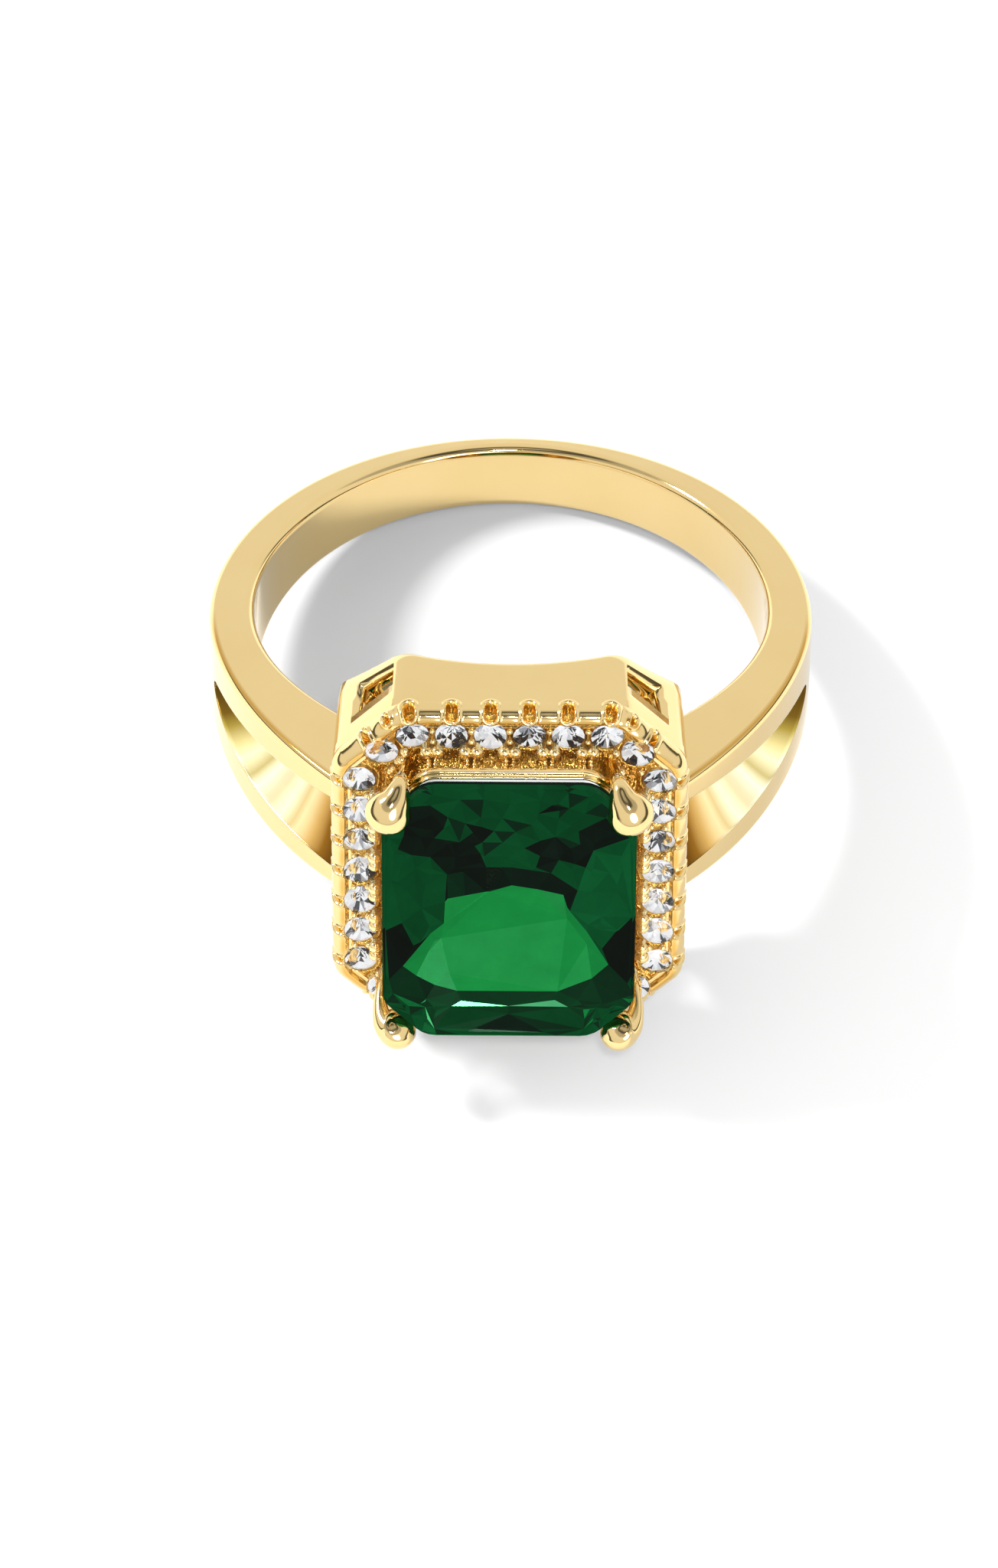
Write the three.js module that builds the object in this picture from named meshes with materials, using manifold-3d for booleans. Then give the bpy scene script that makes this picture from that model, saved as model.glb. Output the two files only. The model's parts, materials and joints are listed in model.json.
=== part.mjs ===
// Cocktail ring: a split-shank gold band, an eight-sided head, a halo of small round stones and one large
// rectangular stone held by four corner claws. Millimetres, +Z up, lying at rest on a flat surface.
//
// The ring is drawn in its own axes: x runs across the head, y along the finger, and z from the finger's
// centre line out through the large stone. A last turn lays it on the surface: it leans on the back of its
// band and on the lower edge of its head, so the finger axis stands a little off upright.

import * as THREE from 'three';
import { mergeVertices } from 'three/addons/utils/BufferGeometryUtils.js';
import Module from 'manifold-3d';

const wasm = await Module();
wasm.setup();

// ---- driving dimensions ----

const FINGER_RADIUS = 8.65;

const band = {
  backThickness: 0.83, // radial thickness at the back
  earlyThickening: 0.55, // added soon after leaving the back
  thickeningOnset: 0.25, // how soon, as a share of the finger radius
  lateThickening: 0.14, // added evenly on the way up
  backHalfWidth: 1.36, // half the width along the finger at the very back
  widthRise: -0.075, // how fast it widens towards the head
  widthFlare: 0.662, // and how much faster it does so further up
  draft: 0.2, // how much narrower it gets per millimetre outwards
  splitAngle: 11.5, // degrees above the side of the finger where the band splits in two
  outerEdge: 0.25, // radius of the two outer edges
  innerEdge: 0.12, // softening of the two edges next to the finger
  steps: 30,
};

const arm = {
  innerEndAngle: 49.2, // degrees, where the finger side of an arm meets the head
  outerEndAngle: 58, // degrees, where the outer side of an arm meets the head
  endHalfWidth: 2.93, // half the width of the pair at the head, on the finger side
  endWidening: 0.1, // how fast it still widens there, per length of arm
  gapOuter: 1.545, // half the gap between the pair at the head, on the outer side
  gapInner: 0.87, // the same on the finger side
  endOuterRadius: 11.03,
  endOuterRise: 1.9, // how fast its outer side lifts at the head, per length of arm
  opening: 0.5, // the gap opens like a parabola
  innerEdge: 0.06, // softening of the two edges next to the finger, as a share of the section
  outerEdge: 0.14,
  steps: 9,
};

const head = {
  halfX: 5.8,
  halfY: 6.98,
  cornerX: 3.65, // where the cut corners leave the long walls
  cornerY: 4.7, // where they reach the side walls
  cornerRadius: 1.2,
  saddleZ: 8.65, // lowest point of the long walls, over the middle of the finger
  saddleRadius: 11.5,
  sideDrop: 0.62, // how much further the side walls reach down between the arms
  sideLean: 0.05, // inward lean of the side walls per millimetre of height
  wallTopZ: 10.4,
  rimTopZ: 11.32,
  wallThickness: 0.8,
  rimThickness: 0.38,
  ledgeZ: 10.1, // shelf inside the wall that carries the tray
};

// The corner windows, as [distance along the cut corner towards the side wall, height].
const WINDOW_CORNERS = [[-1.26, 8.42], [0.42, 8.12], [0.72, 9.55], [-1.26, 9.5]];

const strut = { radius: 0.15, foot: [0.62, 7.75], top: [-0.85, 9.95] };

const halo = {
  stoneRadius: 0.575,
  girdleZ: 11.15,
  crownHeight: 0.19,
  tableRadius: 0.33,
  pavilionDepth: 0.5,
  rowY: 6.01,
  rowPitch: 1.267,
  rowCount: 6,
  columnX: 4.92,
  columnPitch: 1.355,
  columnCount: 7,
  cornerX: 4.17,
  cornerY: 5.3,
  seatRadius: 0.4,
  sides: 10,
};

const tray = { topZ: 10.95, innerX: 3.62, innerY: 5.06, innerCut: 1.3 };

const bead = { radius: 0.14, topZ: 11.42, spacing: 0.36, rowY: 5.44, columnX: 4.36 };

const scallop = { radius: 0.24, depth: 0.62, z: 11.05 };

const stone = {
  halfX: 4.16,
  halfY: 5.68,
  cutX: 2.78, // where the cut corners leave the short sides
  cutY: 4.12, // where they reach the long sides
  tableZ: 13.24,
  crownInset: 0.15,
  crownHeight: 0.16,
  girdle: 0.08,
  culetZ: 9.25,
};

const rail = { inset: 0.1, z: 12.6, halfWidth: 0.09, halfHeight: 0.1 };

const post = { radius: 0.12, footInset: 0.42, headInset: 0.14, footZ: 10.8 };

const claw = { cutLowZ: 12.15, clearance: 0.04, sides: 12 };

const JOINT_GAP = 0.03; // clearance between two pieces that would be soldered or set together

// ---- finishes ----

const GOLD = { color: 0xe6c78c, roughness: 0.14, metalness: 1 };
const GREEN_STONE = { color: 0x0f5a34, roughness: 0.02, metalness: 0 };
const CLEAR_STONE = { color: 0xe8ecf2, roughness: 0.02, metalness: 0 };

const ring = new THREE.Group();

function addPiece(name, geometry, finish) {
  const piece = new THREE.Mesh(geometry, new THREE.MeshStandardMaterial(finish));
  piece.name = name;
  ring.add(piece);
  return piece;
}

// ---- geometry helpers ----

function radians(degrees) {
  return THREE.MathUtils.degToRad(degrees);
}

// Six times the signed volume: negative when the faces point inwards.
function signedVolume(geometry) {
  const position = geometry.getAttribute('position');
  const index = geometry.getIndex();
  const a = new THREE.Vector3();
  const b = new THREE.Vector3();
  const c = new THREE.Vector3();
  let total = 0;
  for (let i = 0; i < index.count; i += 3) {
    a.fromBufferAttribute(position, index.getX(i));
    b.fromBufferAttribute(position, index.getX(i + 1));
    c.fromBufferAttribute(position, index.getX(i + 2));
    total += a.dot(b.cross(c));
  }
  return total;
}

function facingOut(geometry) {
  if (signedVolume(geometry) < 0) {
    geometry.setIndex(Array.from(geometry.getIndex().array).reverse());
  }
  return geometry;
}

// A solid skinned over cross-sections, each a loop of the same number of points. A closed loft joins its last
// section to its first, and an open one is capped at both ends.
function loft(sections, closed) {
  const size = sections[0].length;
  const index = [];
  const spans = closed ? sections.length : sections.length - 1;
  for (let i = 0; i < spans; i += 1) {
    const here = i * size;
    const next = ((i + 1) % sections.length) * size;
    for (let j = 0; j < size; j += 1) {
      const k = (j + 1) % size;
      index.push(here + j, next + j, next + k);
      index.push(here + j, next + k, here + k);
    }
  }
  if (!closed) {
    const last = (sections.length - 1) * size;
    for (let j = 1; j < size - 1; j += 1) {
      index.push(0, j, j + 1);
      index.push(last, last + j + 1, last + j);
    }
  }
  const geometry = new THREE.BufferGeometry();
  const points = sections.flat();
  geometry.setAttribute('position', new THREE.Float32BufferAttribute(points.flatMap((p) => p.toArray()), 3));
  geometry.setIndex(index);
  return facingOut(geometry);
}

function toSolid(geometry) {
  const plain = geometry.clone();
  plain.deleteAttribute('normal');
  plain.deleteAttribute('uv');
  const merged = mergeVertices(plain, 1e-5);
  return new wasm.Manifold(new wasm.Mesh({
    numProp: 3,
    vertProperties: new Float32Array(merged.getAttribute('position').array),
    triVerts: new Uint32Array(merged.getIndex().array),
  }));
}

function toGeometry(solid) {
  const mesh = solid.getMesh();
  const geometry = new THREE.BufferGeometry();
  geometry.setAttribute('position', new THREE.BufferAttribute(new Float32Array(mesh.vertProperties), 3));
  geometry.setIndex(new THREE.BufferAttribute(new Uint32Array(mesh.triVerts), 1));
  return geometry;
}

// A rectangle with rounded corners as points [u, v]. radii are those of the corners (u0,v0), (u1,v0), (u1,v1)
// and (u0,v1), and cuts is the number of straight pieces that each corner's arc is made of.
function roundedRectangle(u0, u1, v0, v1, radii, cuts) {
  const corners = [[u0, v0, 1, 1], [u1, v0, -1, 1], [u1, v1, -1, -1], [u0, v1, 1, -1]];
  return corners.flatMap(([u, v, inU, inV], corner) => {
    const radius = radii[corner];
    const start = Math.PI + corner * Math.PI / 2;
    return Array.from({ length: cuts + 1 }, (_, step) => {
      const angle = start + (step / cuts) * Math.PI / 2;
      return [u + inU * radius + radius * Math.cos(angle), v + inV * radius + radius * Math.sin(angle)];
    });
  });
}

// Points round a rectangle with cut corners, each corner softened by an arc. Each station holds its place and
// its outward direction. Straight stretches are divided by the counts in divisions: [x walls, y walls, cuts].
function cutCornerOutline(halfX, halfY, cornerX, cornerY, radius, divisions, arcCuts) {
  const corners = [
    [cornerX, halfY], [halfX, cornerY], [halfX, -cornerY], [cornerX, -halfY],
    [-cornerX, -halfY], [-halfX, -cornerY], [-halfX, cornerY], [-cornerX, halfY],
  ].map(([x, y]) => new THREE.Vector2(x, y));
  const [alongX, alongY, alongCut] = divisions;
  const counts = [alongCut, alongY, alongCut, alongX, alongCut, alongY, alongCut, alongX];
  const stations = [];
  corners.forEach((corner, i) => {
    const before = corners[(i + 7) % 8];
    const after = corners[(i + 1) % 8];
    const inDirection = corner.clone().sub(before).normalize();
    const outDirection = after.clone().sub(corner).normalize();
    const normalIn = new THREE.Vector2(-inDirection.y, inDirection.x);
    const normalOut = new THREE.Vector2(-outDirection.y, outDirection.x);
    const turn = Math.acos(THREE.MathUtils.clamp(normalIn.dot(normalOut), -1, 1));
    const setback = radius * Math.tan(turn / 2);
    const arcStart = corner.clone().addScaledVector(inDirection, -setback);
    const centre = arcStart.clone().addScaledVector(normalIn, -radius);
    const startAngle = normalIn.angle();
    for (let step = 0; step <= arcCuts; step += 1) {
      const angle = startAngle - (turn * step) / arcCuts;
      const normal = new THREE.Vector2(Math.cos(angle), Math.sin(angle));
      stations.push({ place: centre.clone().addScaledVector(normal, radius), normal });
    }
    const nextSetback = setbackAt(corners, (i + 1) % 8, radius);
    const from = corner.clone().addScaledVector(outDirection, setback);
    const to = after.clone().addScaledVector(outDirection, -nextSetback);
    for (let step = 1; step < counts[i]; step += 1) {
      stations.push({ place: from.clone().lerp(to, step / counts[i]), normal: normalOut.clone() });
    }
  });
  return stations;
}

function setbackAt(corners, i, radius) {
  const into = corners[i].clone().sub(corners[(i + 7) % 8]).normalize();
  const out = corners[(i + 1) % 8].clone().sub(corners[i]).normalize();
  const turn = Math.acos(THREE.MathUtils.clamp(into.dot(out), -1, 1));
  return radius * Math.tan(turn / 2);
}

function outlineLoop(stations, inset, z) {
  return stations.map(({ place, normal }) => {
    return new THREE.Vector3(place.x - normal.x * inset, place.y - normal.y * inset, z);
  });
}

// A plate between two heights, with the shape of an outline.
function plate(outline, lowZ, highZ) {
  const shape = new THREE.Shape(outline.map((p) => new THREE.Vector2(p.x, p.y)));
  const geometry = new THREE.ExtrudeGeometry(shape, { depth: highZ - lowZ, bevelEnabled: false });
  geometry.translate(0, 0, lowZ);
  return geometry;
}

// ---- band ----

// Rise from the back of the band (0) through the sides (1) to the middle of the head (2).
function riseAt(angle) {
  return 1 + Math.sin(angle);
}

function bandOuterRadius(angle) {
  const rise = riseAt(angle);
  const early = band.earlyThickening * (1 - Math.exp(-rise / band.thickeningOnset));
  return FINGER_RADIUS + band.backThickness + early + band.lateThickening * rise;
}

function bandHalfWidth(angle) {
  const rise = riseAt(angle);
  return band.backHalfWidth + band.widthRise * rise + band.widthFlare * rise * rise;
}

// A point at a radius and an angle round the finger axis, in the middle of the band.
function pointOnCircle(radius, angle) {
  return new THREE.Vector3(radius * Math.cos(angle), 0, radius * Math.sin(angle));
}

// Places a section's [radius, width] points in the plane through the finger axis at an angle.
function radialSection(points, angle) {
  return points.map(([r, w]) => pointOnCircle(r, angle).setY(w));
}

function shankHoop() {
  const from = radians(band.splitAngle);
  const sweep = Math.PI + 2 * from;
  const edges = [band.innerEdge, band.outerEdge, band.outerEdge, band.innerEdge];
  const sections = [];
  for (let i = 0; i <= band.steps; i += 1) {
    const angle = from - (sweep * i) / band.steps;
    const half = bandHalfWidth(angle);
    const points = roundedRectangle(FINGER_RADIUS, bandOuterRadius(angle), -half, half, edges, 2);
    const drafted = points.map(([r, w]) => [r, w * (1 - (band.draft * (r - FINGER_RADIUS)) / half)]);
    sections.push(radialSection(drafted, angle));
  }
  return loft(sections, false);
}

// How fast a function of the angle grows there, per radian.
function slopeAt(growing, angle) {
  const step = 0.01;
  return (growing(angle) - growing(angle - step)) / step;
}

// A smooth run from one value to another with a given slope at each end.
function easeBetween(start, end, startSlope, endSlope, t) {
  const left = 1 - t;
  const opening = start * (1 + 2 * t) + startSlope * t;
  const closing = end * (3 - 2 * t) - endSlope * left;
  return opening * left * left + closing * t * t;
}

// One arm of the split band on the +x, +y quarter, from the split to the wall of the head. Its two faces
// follow the finger and the outer curve at their own angles, so that it ends flat against the wall.
function shoulder() {
  const start = radians(band.splitAngle) + JOINT_GAP / FINGER_RADIUS;
  const startOuter = bandOuterRadius(start);
  const startHalf = bandHalfWidth(start);
  const turn = radians(arm.innerEndAngle) - start;
  const outerSlope = slopeAt(bandOuterRadius, start) * turn;
  const halfSlope = slopeAt(bandHalfWidth, start) * turn;
  const edges = [arm.innerEdge, arm.outerEdge, arm.outerEdge, arm.innerEdge];
  const profile = roundedRectangle(0, 1, 0, 1, edges, 2);
  const sections = [];
  for (let i = 0; i <= arm.steps; i += 1) {
    const t = (i / arm.steps) ** (1 / arm.opening);
    const innerAngle = THREE.MathUtils.lerp(start, radians(arm.innerEndAngle), t);
    const outerAngle = THREE.MathUtils.lerp(start, radians(arm.outerEndAngle), t);
    const outerRadius = easeBetween(startOuter, arm.endOuterRadius, outerSlope, arm.endOuterRise, t);
    const inner = pointOnCircle(FINGER_RADIUS, innerAngle);
    const outer = pointOnCircle(outerRadius, outerAngle);
    const half = easeBetween(startHalf, arm.endHalfWidth, halfSlope, arm.endWidening, t);
    const open = t ** arm.opening;
    sections.push(profile.map(([u, v]) => {
      const low = JOINT_GAP / 2 + open * THREE.MathUtils.lerp(arm.gapInner, arm.gapOuter, u);
      const place = inner.clone().lerp(outer, u);
      place.y = THREE.MathUtils.lerp(low, half - band.draft * place.distanceTo(inner), v);
      return place;
    }));
  }
  return loft(sections, false);
}

// ---- head ----

function headOutline(divisions, arcCuts) {
  const { halfX, halfY, cornerX, cornerY, cornerRadius } = head;
  return cutCornerOutline(halfX, halfY, cornerX, cornerY, cornerRadius, divisions, arcCuts);
}

// Height of the wall's lower edge: a saddle over the finger, reaching further down between the arms.
function wallBottom(x, y) {
  const saddle = Math.sqrt(head.saddleRadius ** 2 - x ** 2) - head.saddleRadius + head.saddleZ;
  const inBetween = 1 - THREE.MathUtils.smoothstep(Math.abs(y), arm.endHalfWidth, head.cornerY);
  const onSide = THREE.MathUtils.smoothstep(Math.abs(x), head.cornerX, head.halfX);
  return saddle - head.sideDrop * inBetween * onSide;
}

function wallSection({ place, normal }) {
  const bottom = wallBottom(place.x, place.y);
  const { wallTopZ, rimTopZ, ledgeZ, wallThickness, rimThickness } = head;
  const profile = [
    [0.12, bottom],
    [0, bottom + 0.14],
    [0, wallTopZ],
    [0.02, wallTopZ + 0.5],
    [0.14, rimTopZ - 0.09],
    [rimThickness - 0.04, rimTopZ],
    [rimThickness, rimTopZ - 0.12],
    [rimThickness, ledgeZ],
    [wallThickness, ledgeZ],
    [wallThickness, bottom + 0.04],
  ];
  return profile.map(([inset, z]) => {
    const lean = head.sideLean * Math.max(0, wallTopZ - z) * Math.abs(normal.x);
    const depth = inset + lean;
    return new THREE.Vector3(place.x - normal.x * depth, place.y - normal.y * depth, z);
  });
}

// A point near the cut corner of the +x, +y quarter, given its distance along the corner towards the side
// wall, its depth into the head and its height.
function atCutCorner(along, inset, z) {
  const direction = new THREE.Vector2(head.halfX - head.cornerX, head.cornerY - head.halfY).normalize();
  const middleX = (head.cornerX + head.halfX) / 2;
  const middleY = (head.cornerY + head.halfY) / 2;
  const x = middleX + direction.x * along + direction.y * inset;
  const y = middleY + direction.y * along - direction.x * inset;
  return new THREE.Vector3(x, y, z);
}

// Cutter for one corner window: a four-sided prism square to the cut corner's face.
function windowCutter() {
  const reach = 2 * head.wallThickness;
  return loft([reach, -reach].map((inset) => {
    return WINDOW_CORNERS.map(([along, z]) => atCutCorner(along, inset, z));
  }), false);
}

// The slanting strut that shows through a corner window, just inside the wall.
function cornerStrut() {
  const inset = head.wallThickness + JOINT_GAP + strut.radius;
  const [foot, top] = [strut.foot, strut.top].map(([along, z]) => atCutCorner(along, inset, z));
  return rodBetween(foot, top, strut.radius);
}

// The places that sit symmetrically in all four quarters.
const QUARTERS = [
  { name: 'upper_right', x: 1, y: 1 },
  { name: 'upper_left', x: -1, y: 1 },
  { name: 'lower_left', x: -1, y: -1 },
  { name: 'lower_right', x: 1, y: -1 },
];

function mirrored(geometry, x, y) {
  const copy = geometry.index ? geometry.clone() : mergeVertices(geometry.clone());
  copy.scale(x, y, 1);
  return facingOut(copy);
}

function galleryWall() {
  let wall = toSolid(loft(headOutline([6, 4, 2], 2).map(wallSection), true));
  const cutter = windowCutter();
  QUARTERS.forEach(({ x, y }) => {
    wall = wall.subtract(toSolid(mirrored(cutter, x, y)));
  });
  haloPlaces().forEach(({ x, y, outward }) => {
    const cut = new THREE.CylinderGeometry(scallop.radius, scallop.radius, scallop.depth * 2, 8);
    cut.rotateZ(Math.PI / 2);
    cut.translate(halo.stoneRadius + scallop.depth, 0, 0);
    cut.rotateZ(outward);
    cut.translate(x, y, scallop.z);
    const seatRadius = halo.stoneRadius + JOINT_GAP;
    const seat = new THREE.CylinderGeometry(seatRadius, seatRadius, 1, 12);
    seat.rotateX(Math.PI / 2);
    seat.translate(x, y, tray.topZ + 0.5);
    wall = wall.subtract(toSolid(cut)).subtract(toSolid(seat));
  });
  return toGeometry(wall);
}

// Where the small stones sit: two rows, two columns and four corners, each with the direction that points out
// of the head.
function haloPlaces() {
  const places = [];
  [1, -1].forEach((side) => {
    for (let i = 0; i < halo.rowCount; i += 1) {
      const x = (i - (halo.rowCount - 1) / 2) * halo.rowPitch;
      places.push({ kind: 'row', x, y: side * halo.rowY, outward: side * Math.PI / 2 });
    }
    for (let i = 0; i < halo.columnCount; i += 1) {
      const y = (i - (halo.columnCount - 1) / 2) * halo.columnPitch;
      places.push({ kind: 'column', x: side * halo.columnX, y, outward: side > 0 ? 0 : Math.PI });
    }
  });
  QUARTERS.forEach(({ x, y }) => {
    const outward = Math.atan2(y, x);
    places.push({ kind: 'corner', x: x * halo.cornerX, y: y * halo.cornerY, outward });
  });
  return places;
}

// The places between every two neighbouring stones of a row or a column: the side of the head, whether it is
// a row, and the position along it.
function betweenStones() {
  const places = [];
  [1, -1].forEach((side) => {
    for (let i = 0; i < halo.rowCount - 1; i += 1) {
      places.push({ side, inRow: true, along: (i - (halo.rowCount - 2) / 2) * halo.rowPitch });
    }
    for (let i = 0; i < halo.columnCount - 1; i += 1) {
      places.push({ side, inRow: false, along: (i - (halo.columnCount - 2) / 2) * halo.columnPitch });
    }
  });
  return places;
}

// An upright prong on the tray, round and slightly tapered.
function prongAt(x, y, lowZ, highZ, radius) {
  const prong = new THREE.CylinderGeometry(radius * 0.7, radius, highZ - lowZ, 6);
  prong.rotateX(Math.PI / 2);
  prong.translate(x, y, (lowZ + highZ) / 2);
  return prong;
}

// A straight rod between two points.
function rodBetween(foot, top, radius) {
  const span = top.clone().sub(foot);
  const rod = new THREE.CylinderGeometry(radius, radius, span.length(), 6);
  const turn = new THREE.Quaternion().setFromUnitVectors(new THREE.Vector3(0, 1, 0), span.normalize());
  rod.applyQuaternion(turn);
  const middle = foot.clone().add(top).multiplyScalar(0.5);
  rod.translate(middle.x, middle.y, middle.z);
  return rod;
}

function haloTray() {
  const rimInset = head.rimThickness + JOINT_GAP;
  const outer = outlineLoop(headOutline([1, 1, 1], 2), rimInset, 0);
  const { innerX, innerY, innerCut, topZ } = tray;
  const innerStations = cutCornerOutline(
    innerX, innerY, innerX - innerCut, innerY - innerCut, 0.3, [1, 1, 1], 1,
  );
  const lowZ = head.ledgeZ + JOINT_GAP;
  const opening = plate(outlineLoop(innerStations, 0, 0), lowZ - 1, topZ + 1);
  let solid = toSolid(plate(outer, lowZ, topZ)).subtract(toSolid(opening));
  haloPlaces().forEach(({ x, y }) => {
    const drill = new THREE.CylinderGeometry(halo.seatRadius, halo.seatRadius, 3, 8);
    drill.rotateX(Math.PI / 2);
    drill.translate(x, y, topZ);
    solid = solid.subtract(toSolid(drill));
  });
  const railFoot = rail.z - rail.halfHeight - JOINT_GAP;
  betweenStones().forEach(({ side, inRow, along }) => {
    [-0.5, 0.5].forEach((half) => {
      const place = along + half * bead.spacing;
      const x = inRow ? place : side * bead.columnX;
      const y = inRow ? side * bead.rowY : place;
      solid = solid.add(toSolid(prongAt(x, y, topZ - 0.2, bead.topZ, bead.radius)));
    });
    const edge = inRow ? stone.halfY : stone.halfX;
    const [foot, top] = [[post.footInset, post.footZ], [post.headInset, railFoot]].map(([inset, z]) => {
      const away = side * (edge - inset);
      return inRow ? new THREE.Vector3(along, away, z) : new THREE.Vector3(away, along, z);
    });
    solid = solid.add(toSolid(rodBetween(foot, top, post.radius)));
  });
  return toGeometry(solid);
}

// ---- stones ----

function haloStone() {
  const { stoneRadius, tableRadius, crownHeight, pavilionDepth, sides } = halo;
  const profile = [
    new THREE.Vector2(0, -pavilionDepth),
    new THREE.Vector2(stoneRadius, -0.015),
    new THREE.Vector2(stoneRadius, 0.015),
    new THREE.Vector2(tableRadius, crownHeight),
    new THREE.Vector2(0, crownHeight),
  ];
  const geometry = new THREE.LatheGeometry(profile, sides);
  geometry.rotateX(Math.PI / 2);
  return geometry;
}

function stoneStations() {
  return cutCornerOutline(stone.halfX, stone.halfY, stone.cutX, stone.cutY, 0.9, [1, 1, 1], 2);
}

function stoneLoop(inset, z) {
  return outlineLoop(stoneStations(), inset, z);
}

// The large stone: a flat table, one narrow crown bevel, a thin girdle and a pavilion of three tiers.
function centreStone() {
  const girdleTop = stone.tableZ - stone.crownHeight;
  const girdleLow = girdleTop - stone.girdle;
  const keel = stone.culetZ;
  const depth = girdleLow - keel;
  const shrink = (scaleX, scaleY, z) => stoneLoop(0, z).map((p) => p.set(p.x * scaleX, p.y * scaleY, z));
  const sections = [
    stoneLoop(stone.crownInset, stone.tableZ),
    stoneLoop(0, girdleTop),
    stoneLoop(0, girdleLow),
    shrink(0.79, 0.85, girdleLow - depth * 0.26),
    shrink(0.44, 0.58, girdleLow - depth * 0.63),
    shrink(0.06, 0.3, keel),
  ];
  return loft(sections, false);
}

// ---- rail and claws ----

// The thin polished rail that the large stone rests in, just under its girdle.
function stoneRail() {
  const { inset, z, halfWidth, halfHeight } = rail;
  const corners = [
    [-halfWidth, -halfHeight],
    [halfWidth, -halfHeight],
    [halfWidth, halfHeight],
    [-halfWidth, halfHeight],
  ];
  const sections = stoneStations().map(({ place, normal }) => corners.map(([across, up]) => {
    const offset = inset + across;
    return new THREE.Vector3(place.x - normal.x * offset, place.y - normal.y * offset, z + up);
  }));
  return loft(sections, true);
}

// The claws on the +x side, as [x, y, z, radius] from the foot on the tray: a stem that leans out past the cut
// corner of the stone, swells and hooks back over it. The lower pair stands further out. y is a distance here.
const UPPER_CLAW = [
  [3.27, 4.62, 10.98, 0.24],
  [3.36, 4.9, 11.7, 0.24],
  [3.44, 5.22, 12.3, 0.25],
  [3.52, 5.44, 12.74, 0.28],
  [3.59, 5.42, 13.06, 0.36],
  [3.68, 5.2, 13.25, 0.5],
  [3.82, 4.93, 13.35, 0.67],
  [3.92, 4.66, 13.38, 0.75],
  [4, 4.38, 13.36, 0.68],
  [4.06, 4.16, 13.33, 0.44],
  [4.09, 4.04, 13.31, 0.12],
];
const LOWER_CLAW = [
  [4.05, 4.36, 10.98, 0.2],
  [4.15, 4.52, 11.5, 0.2],
  [4.24, 4.75, 12.1, 0.21],
  [4.24, 5.02, 12.6, 0.27],
  [4.1, 5.25, 12.92, 0.42],
  [3.9, 5.36, 13.08, 0.57],
  [3.72, 5.34, 13.18, 0.68],
  [3.55, 5.2, 13.24, 0.6],
  [3.44, 5.06, 13.27, 0.4],
  [3.36, 4.97, 13.28, 0.12],
];

// A round body along a path, with the rings square to it.
function sweptBody(path, sides) {
  const centres = path.map(([x, y, z]) => new THREE.Vector3(x, y, z));
  const across = new THREE.Vector3();
  const sections = path.map(([, , , radius], i) => {
    const before = centres[Math.max(0, i - 1)];
    const after = centres[Math.min(path.length - 1, i + 1)];
    const along = after.clone().sub(before).normalize();
    across.set(1, 0, 0).addScaledVector(along, -along.x).normalize();
    const third = new THREE.Vector3().crossVectors(along, across);
    return Array.from({ length: sides }, (_, k) => {
      const turn = (2 * Math.PI * k) / sides;
      const point = centres[i].clone().addScaledVector(across, radius * Math.cos(turn));
      return point.addScaledVector(third, radius * Math.sin(turn));
    });
  });
  return loft(sections, false);
}

function cornerClaw(path) {
  const seat = plate(stoneLoop(-claw.clearance, 0), claw.cutLowZ, stone.tableZ + claw.clearance);
  return toGeometry(toSolid(sweptBody(path, claw.sides)).subtract(toSolid(seat)));
}

// ---- assembly ----

addPiece('shank_hoop', shankHoop(), GOLD);

const armGeometry = shoulder();
const upperClaw = cornerClaw(UPPER_CLAW);
const lowerClaw = cornerClaw(LOWER_CLAW);
const strutGeometry = cornerStrut();
QUARTERS.forEach(({ name, x, y }) => {
  addPiece(`shoulder_${name}`, mirrored(armGeometry, x, y), GOLD);
  addPiece(`claw_${name}`, mirrored(y > 0 ? upperClaw : lowerClaw, x, y), GOLD);
  addPiece(`corner_strut_${name}`, mirrored(strutGeometry, x, y), GOLD);
});

addPiece('gallery_wall', galleryWall(), GOLD);
addPiece('halo_tray', haloTray(), GOLD);
addPiece('stone_rail', stoneRail(), GOLD);
addPiece('centre_stone', centreStone(), GREEN_STONE);

haloPlaces().forEach(({ x, y }, i) => {
  const gem = addPiece(`halo_stone_${String(i + 1).padStart(2, '0')}`, haloStone(), CLEAR_STONE);
  gem.position.set(x, y, halo.girdleZ);
});

// The ring lies on the back edge of its band and on the lower edge of its head.
const headContact = new THREE.Vector2(head.halfY, wallBottom(head.cornerX, head.halfY));
const backContact = new THREE.Vector2(band.backHalfWidth, FINGER_RADIUS + band.backThickness);
const lean = Math.atan2(headContact.x - backContact.x, headContact.y + backContact.y);
ring.rotation.x = Math.PI / 2 - lean;
ring.updateMatrixWorld(true);

const box = new THREE.Box3().setFromObject(ring, true);
ring.position.set(-(box.min.x + box.max.x) / 2, -(box.min.y + box.max.y) / 2, -box.min.z);

export default ring;
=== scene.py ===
"""Studio look of the cocktail ring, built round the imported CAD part.

Shapes are drawn in the ring's own axes, in millimetres: x across the head, y along the finger and z from
the finger's centre line out through the large stone. The record's two mounts say where those axes lie in the
world.
"""

import json
import math
import random

import bmesh
import bpy
import numpy as np
from mathutils import Matrix, Vector
from mathutils.geometry import delaunay_2d_cdt


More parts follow.
